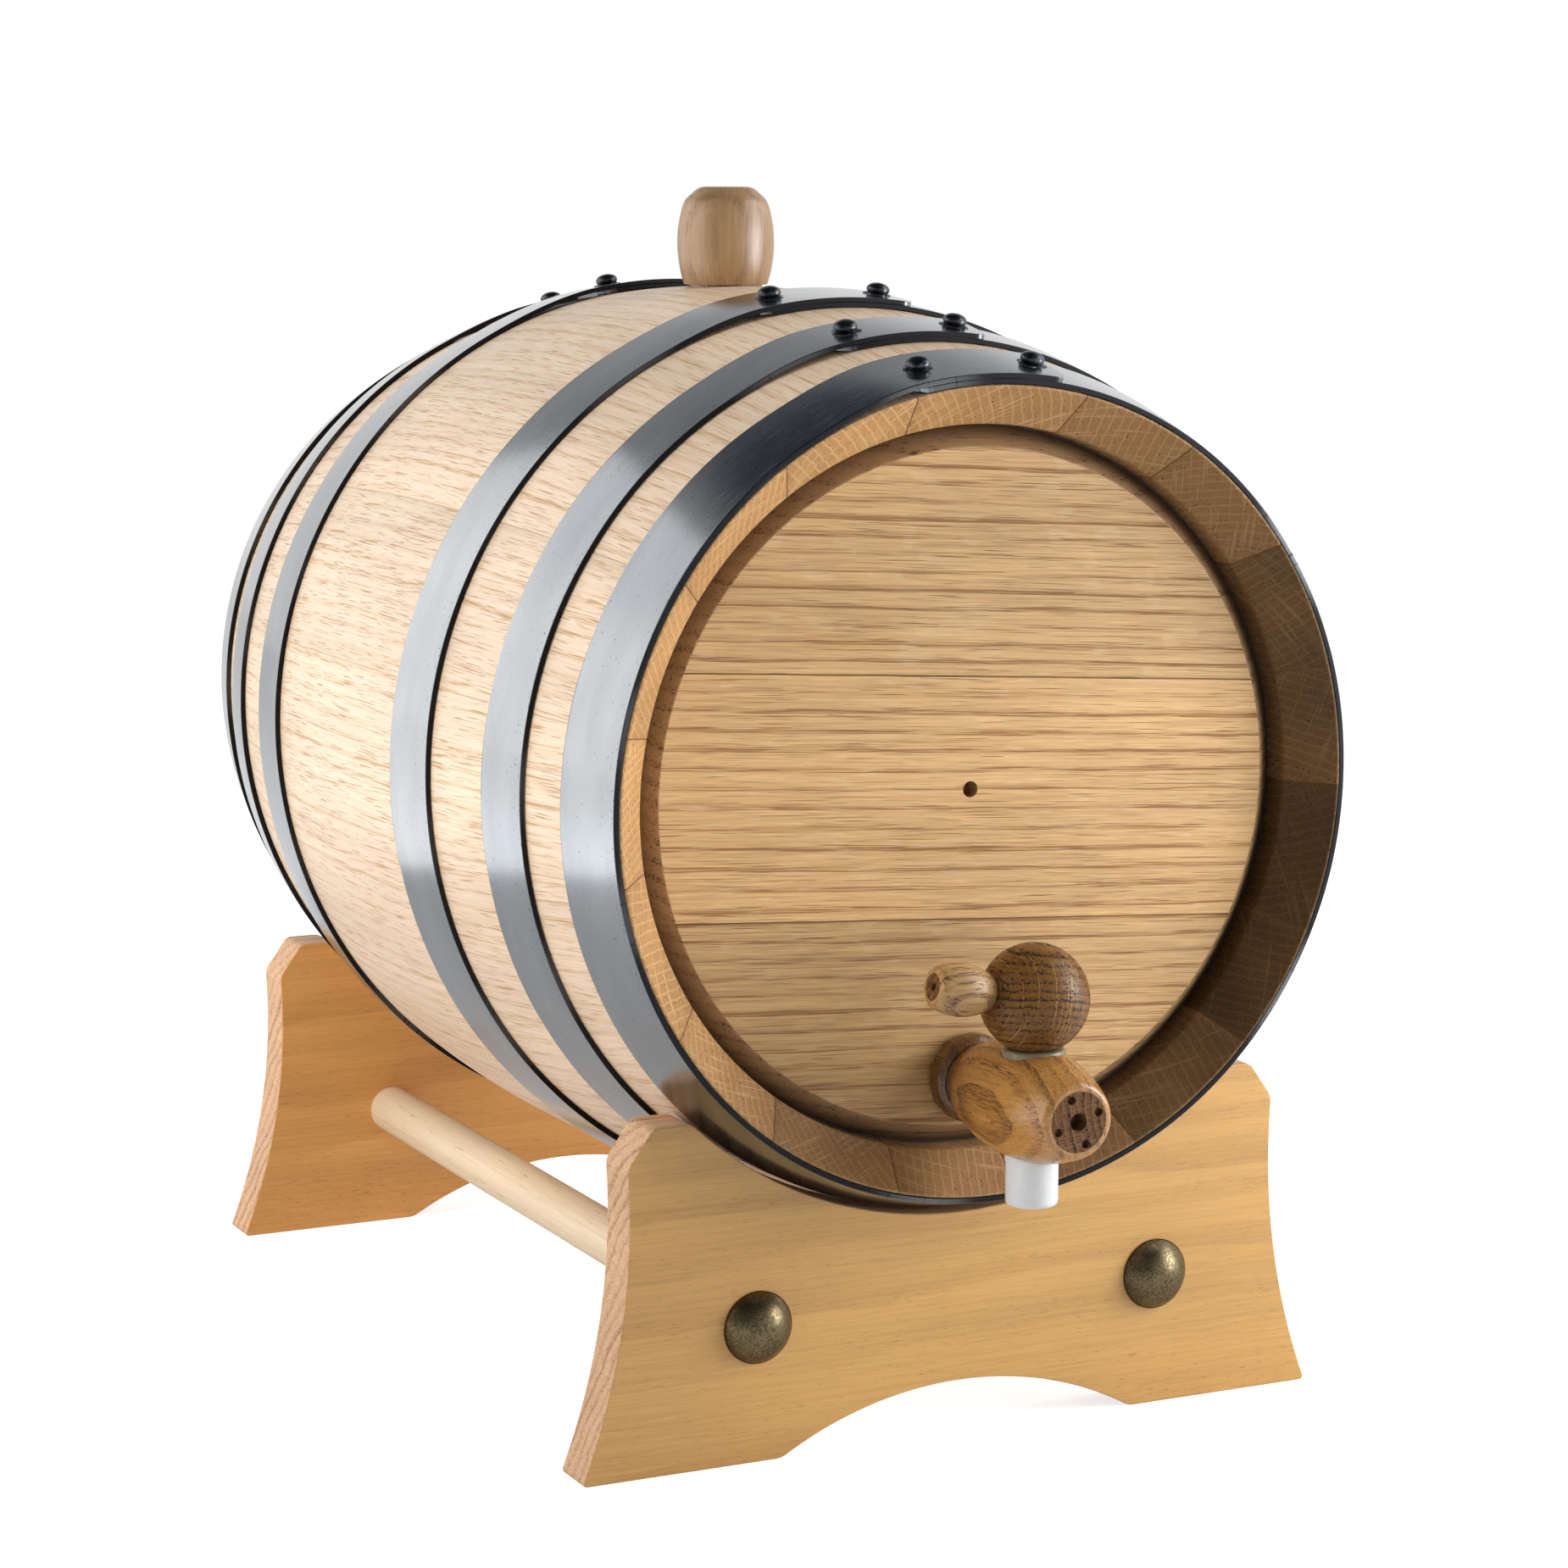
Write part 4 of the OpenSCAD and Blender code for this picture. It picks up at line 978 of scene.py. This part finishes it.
# The flange and what stands above it are coloured darker.
finish_piece(sleeve, "cask", "spout_plastic", ["tap_sleeve"],
             grime=lambda p: np.clip((p[:, 2] - TAP_H - SEAT_H + 0.5) / 0.4, 0, 1))

# ------------------------------------------------------------------ tap plug
# The turning core inside the sleeve, moulded in the same plastic. Its port lets the liquor through
# when the ball on top has turned it round to the bore.

dress("tap_plug", make_plastic("plug plastic", (0.74, 0.74, 0.71), 0.4))

# ------------------------------------------------------------------ tap ball
# A ball turned from the same dark oak and pressed on the plug, so that both turn as one. A flat in
# its side takes the handle's shoulder.

BALL_R, BALL_H = 10.0, 19.2
BALL_MIDDLE = (0, TAP_Y - KEY_AT, TAP_H + BALL_H)
BALL_FLAT = SEAT_H + FLANGE_T + 0.3 - BALL_H
SOCKET_TOP = 14.7 - BALL_H
HANDLE_TILT = math.radians(10.5)
SHOULDER_AT, SHOULDER_R = 9.4, 3.6
TENON_R, TENON_IN = 2.0, 3.0

handle_axis = np.array([-math.cos(HANDLE_TILT), 0, math.sin(HANDLE_TILT)])
ball_place = placed(BALL_MIDDLE, (0, 0, 1))
handle_place = placed(BALL_MIDDLE, handle_axis, (0, -1, 0))
sweep = np.linspace(math.asin(BALL_FLAT / BALL_R), math.pi / 2, 48)
ball_profile = np.concatenate([[(0, BALL_FLAT)],
                               np.stack([BALL_R * np.cos(sweep), BALL_R * np.sin(sweep)], 1)])
ball = make_solid("tap_ball_oak", [(*turned(ball_profile, ball_place, 96), ball_oak)])
cut(ball, [(*rod(SLEEVE_BORE_R, BALL_FLAT - 1, SOCKET_TOP, ball_place), tap_hollow)])
cut(ball, [(*rod(TENON_R + 0.05, TENON_IN - 0.2, 12, handle_place, 32), tap_hollow)])
cut(ball, [(*rod(SHOULDER_R, SHOULDER_AT, 12, handle_place, 48), ball_oak)])
finish_piece(ball, "tap_key", "tap_oak", ["tap_ball"], tone=-0.05,
             wood=lambda p: grain(p[:, 0], p[:, 2] - TAP_H - BALL_H, -p[:, 1], 8, 34, 300))

# ------------------------------------------------------------------ tap handle
# A small barrel-shaped peg of lighter oak, turned in one piece with the tenon that is glued into
# the ball. The lathe's centre left a small pit in its end.

PEG_R, PEG_ARC_R, PEG_BELLY, PEG_REACH = 4.8, 12.0, 15.6, 20.9

handle_oak = make_wood("handle oak", (0.52, 0.30, 0.115), (0.28, 0.14, 0.045), (0.10, 0.045, 0.016),
                       (0.60, 0.38, 0.17), roughness=0.34, relief=0.10, spacing=1.6, wander=0.8,
                       pores=0.75, width=0.26, rays=0.3)


def peg_side(z):
    """Radius of the peg, an arc, at z along the handle."""
    return PEG_R - PEG_ARC_R + np.sqrt(PEG_ARC_R**2 - (z - PEG_BELLY)**2)


body = np.linspace(SHOULDER_AT + 0.5, PEG_REACH - 1.0, 20)
peg_profile = np.concatenate([
    eased([(0, TENON_IN, 0), (TENON_R, TENON_IN, 0.3), (TENON_R, SHOULDER_AT, 0.05),
           (peg_side(SHOULDER_AT), SHOULDER_AT, 0.2), (peg_side(body[0]), body[0], 0)]),
    np.stack([peg_side(body), body], 1)[1:],
    eased([(peg_side(body[-1]), body[-1], 0), (peg_side(PEG_REACH), PEG_REACH, 0.8),
           (0, PEG_REACH, 0)])[1:-1]])
peg_pit = eased([(0.8, PEG_REACH, 0.15), (0.6, PEG_REACH - 1.5, 0.2), (0, PEG_REACH - 1.5, 0)])
peg_end = np.concatenate([peg_profile[-1:], peg_pit])
handle = make_solid("tap_handle_oak", [(*turned(peg_profile, handle_place, 72), handle_oak),
                                       (*turned(peg_end, handle_place, 72), tap_end)])
finish_piece(handle, "tap_key", "handle_oak", ["tap_handle"], tone=0.0,
             wood=lambda p: grain(p[:, 1] - TAP_Y + KEY_AT, p[:, 2] - TAP_H - BALL_H, p @ handle_axis,
                                  60, 30, 700))

# ------------------------------------------------------------------ stand panels
# Two panels of golden varnished wood, sawn with a saddle, hollow flanks and an arch between the
# feet. Their edges are rounded, and the sawn ends of the grain show darker streaks.

PANEL_T = 10.0
HALF_FOOT, HALF_WAIST, WAIST_H, FLANK_R = 76.8, 67.4, 48.2, 128.0
PANEL_H, CORNER_W, CORNER_H = 64.6, 5.0, 7.0
SADDLE_R = wood_r(HALF_L - 11 - PANEL_T) + 0.4
ARCH_R, ARCH_H = 73.5, 10.0
PANEL_EASE = 0.25
OUTLINE_STEP = 0.5
PANEL_GRAIN = dict(roughness=0.36, relief=0.02, gloss=0.6, spacing=5.5, band=0.8, wander=4.0, pores=0.46,
                   crowding=0.05, length=2.4, width=0.22, rays=0.15, fibre=0.5)

front_wood = make_wood("front panel wood", (0.69, 0.380, 0.110), (0.56, 0.290, 0.082),
                       (0.42, 0.20, 0.055), (0.75, 0.46, 0.18), **PANEL_GRAIN)
# A lighter, redder copy of the panel wood for the rear panel: painted light.
rear_wood_painted_light = make_wood("rear panel wood with painted light", (0.74, 0.365, 0.103), (0.62, 0.285, 0.078), (0.45, 0.19, 0.050),
                      (0.80, 0.45, 0.17), **PANEL_GRAIN)
stand_end = make_wood("stand end grain", (0.63, 0.37, 0.195), (0.36, 0.175, 0.078), (0.20, 0.09, 0.036),
                      (0.70, 0.45, 0.26), roughness=0.5, relief=0.12, spacing=2.9, wander=3.0, pores=0.55,
                      length=14.0, rays=0.2, fibre=0.6)


def softened(outline, ease, step):
    """A closed outline in even steps, each point averaged with its neighbours, which rounds corners."""
    closed = np.concatenate([outline, outline[:1]])
    length = np.concatenate([[0], np.cumsum(np.linalg.norm(np.diff(closed, axis=0), axis=1))])
    places = np.linspace(0, length[-1], int(length[-1] / step), endpoint=False)
    even = np.stack([np.interp(places, length, closed[:, k]) for k in (0, 1)], 1)
    reach = max(1, round(ease / step))
    return np.mean([np.roll(even, s, 0) for s in range(-reach, reach + 1)], 0)


def panel_outline():
    """Half of the panel from the arch's top to the saddle's bottom, and its mirror image. The arch,
    the flank and the saddle are arcs."""
    foot = math.sqrt(ARCH_R**2 - (ARCH_R - ARCH_H)**2)
    x = np.linspace(0, foot, 40)
    arch = np.stack([x, np.sqrt(ARCH_R**2 - x**2) - ARCH_R + ARCH_H], 1)
    h = np.linspace(0, PANEL_H - CORNER_H, 40)
    flank = np.stack([HALF_WAIST + FLANK_R - np.sqrt(FLANK_R**2 - (h - WAIST_H)**2), h], 1)
    flank[:, 0] = np.minimum(flank[:, 0], HALF_FOOT)
    corner_x = flank[-1, 0]
    edge = math.sqrt(SADDLE_R**2 - (AXIS_H - PANEL_H)**2)
    s = np.linspace(edge, 0, 60)
    saddle = np.stack([s, AXIS_H - np.sqrt(SADDLE_R**2 - s**2)], 1)
    half = np.concatenate([arch, flank, [(corner_x - CORNER_W, PANEL_H)], saddle])
    return np.concatenate([half, half[-2:0:-1] * (-1, 1)])


def panel_parts(front, back, face_wood):
    """The outline carried through the thickness. At both faces it draws in along a quarter round."""
    outline = softened(panel_outline(), 1.0, OUTLINE_STEP)
    normal = inward(outline)
    round_in = np.linspace(0, np.pi / 2, 5)
    inset = PANEL_EASE * (1 - np.sin(round_in))
    depth = PANEL_EASE * (1 - np.cos(round_in))
    inset = np.concatenate([[PANEL_EASE + 0.05], inset, np.zeros(5), inset[::-1], [PANEL_EASE + 0.05]])
    depth = np.concatenate([[0], depth, np.linspace(1.5, PANEL_T - 1.5, 5), PANEL_T - depth[::-1],
                            [PANEL_T]])
    flat = outline[None] + normal[None] * inset[:, None, None]
    y = np.broadcast_to((front + depth * (back - front) / PANEL_T)[:, None], flat.shape[:2])
    points = np.stack([flat[..., 0], y, flat[..., 1]], -1)
    rows, columns = points.shape[:2]
    quads = grid_quads(rows, columns, wrap_columns=True)
    row = np.repeat(np.arange(rows - 1), columns)
    face = (row < 3) | (row >= rows - 4)
    caps = np.stack([np.arange(columns), (rows - 1) * columns + np.arange(columns)])
    return [(points, quads[face], face_wood), (points, quads[~face], stand_end),
            (points, caps, face_wood)]


# Painted light: the rear panel's higher tone, with its redder copy of the wood, makes it brighter.
PANELS = (("front_panel", front_wood, 0.02), ("rear_panel", rear_wood_painted_light, 0.30))
for k, (node, face_wood, tone) in enumerate(PANELS):
    low, high = (corner.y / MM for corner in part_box(node))
    panel = make_solid(node + "_wood", panel_parts(low, high, face_wood))
    finish_piece(panel, "stand", "stand_wood", [node], tone=tone,
                 wood=lambda p, k=k, low=low: grain(p[:, 2], p[:, 1] - low, p[:, 0], 9 + 5 * k,
                                                    62 + 20 * k, 500 * k))

# ------------------------------------------------------------------ dowel rails
# Two round rails of pale wood, planed along their length. They butt against both panels, and a
# screw at each end holds them.

DOWEL_R, DOWEL_X, DOWEL_H = 5.0, 42.0, 25.5
PLANED, PLANED_RUN = 0.03, 17

dowel_wood = make_wood("dowel wood", (0.88, 0.68, 0.46), (0.80, 0.57, 0.34), (0.56, 0.34, 0.16),
                       (0.88, 0.70, 0.49), roughness=0.45, relief=0.03, spacing=3.2, wander=2.0,
                       pores=0.22, rays=0.2)

rail_front, rail_back = (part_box("left_dowel")[k].y / MM for k in (0, 1))
rail_l = rail_back - rail_front
stations = np.linspace(0.1, rail_l - 0.1, 40)
for k, (node, side) in enumerate((("left_dowel", -1), ("right_dowel", 1))):
    rail_place = placed((side * DOWEL_X, rail_front, DOWEL_H), (0, 1, 0))
    radius = DOWEL_R + PLANED * np.sin(stations / PLANED_RUN + k)
    rail_profile = np.concatenate([[(0, 0), (DOWEL_R - 0.1, 0)], np.stack([radius, stations], 1),
                                   [(DOWEL_R - 0.1, rail_l), (0, rail_l)]])
    rail = make_solid(node + "_wood", [(*turned(rail_profile, rail_place, 48), dowel_wood)])
    finish_piece(rail, "stand", "dowel_wood", [node], tone=0.03 * side,
                 wood=lambda p, side=side: grain(p[:, 0] - side * DOWEL_X, p[:, 2] - DOWEL_H, p[:, 1],
                                                 30 * side, 34))

# ------------------------------------------------------------------ stand screws
# Zinc-plated steel screws, driven through the panels into the ends of the rails and hidden under
# the dome caps.

dress("stand_screws", make_plain("zinc plate", (0.62, 0.63, 0.64), (0.50, 0.51, 0.53), 2.0, 0.35,
                                 metallic=1.0))

# ------------------------------------------------------------------ dome caps
# Pressed domes of antique bronze that snap over the screw heads, speckled where the dark patina
# holds in the pits of the metal.

CAP_R, CAP_H = 6.8, 4.5
SCREW_HEAD_R, SCREW_HEAD_H = 4.0, 2.4
DOME_SHARE = 0.97


def make_bronze():
    """Antique bronze: bright brown metal under a dark patina that breaks up into fine specks."""
    material = bpy.data.materials.new("antique bronze")
    material.use_nodes = True
    tree = material.node_tree
    tree.nodes.clear()
    place = add_node(tree, "TexCoord").outputs["Object"]
    fine = add_node(tree, "TexNoise", {"Vector": place, "Scale": 2600.0, "Detail": 3.0,
                                       "Roughness": 0.6}).outputs[0]
    broad = add_node(tree, "TexNoise", {"Vector": place, "Scale": 260.0, "Detail": 2.0}).outputs[0]
    patina = eased_step(tree, reckon(tree, "MULTIPLY_ADD", broad, 0.35, fine), 0.52, 0.80)
    colour = blend_colour(tree, patina, (0.20, 0.153, 0.082, 1), (0.088, 0.069, 0.037, 1))
    rough = reckon(tree, "MULTIPLY_ADD", patina, 0.10, 0.30)
    bump = add_node(tree, "Bump", {"Height": fine, "Strength": 0.15, "Distance": 0.02 * MM})
    shader = add_node(tree, "BsdfPrincipled", {"Base Color": colour, "Metallic": 1.0, "Roughness": rough,
                                               "Normal": bump.outputs[0]})
    add_node(tree, "OutputMaterial", {"Surface": shader.outputs[0]})
    return material


bronze = make_bronze()
panel_faces = [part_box("front_panel")[0].y / MM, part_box("rear_panel")[1].y / MM]
dome_r = (CAP_R**2 + CAP_H**2) / (2 * CAP_H)
sweep = np.linspace(0, 1, 20) * math.asin(CAP_R / dome_r) * DOME_SHARE
dome = np.stack([dome_r * np.sin(sweep), CAP_H - dome_r + dome_r * np.cos(sweep)], 1)
cap_rim = [(CAP_R, 0.30), (CAP_R, 0.08), (CAP_R - 0.15, 0.0), (SCREW_HEAD_R + 0.1, 0.0),
           (SCREW_HEAD_R, SCREW_HEAD_H), (0, SCREW_HEAD_H)]
cap_profile = np.concatenate([dome, cap_rim])
caps = [(*turned(cap_profile, placed((side * DOWEL_X, y, DOWEL_H), (0, facing, 0)), 72), bronze)
        for side in (-1, 1) for y, facing in zip(panel_faces, (-1, 1))]
finish_piece(make_solid("dome_caps_bronze", caps), "stand", "cap_bronze", ["dome_caps"])
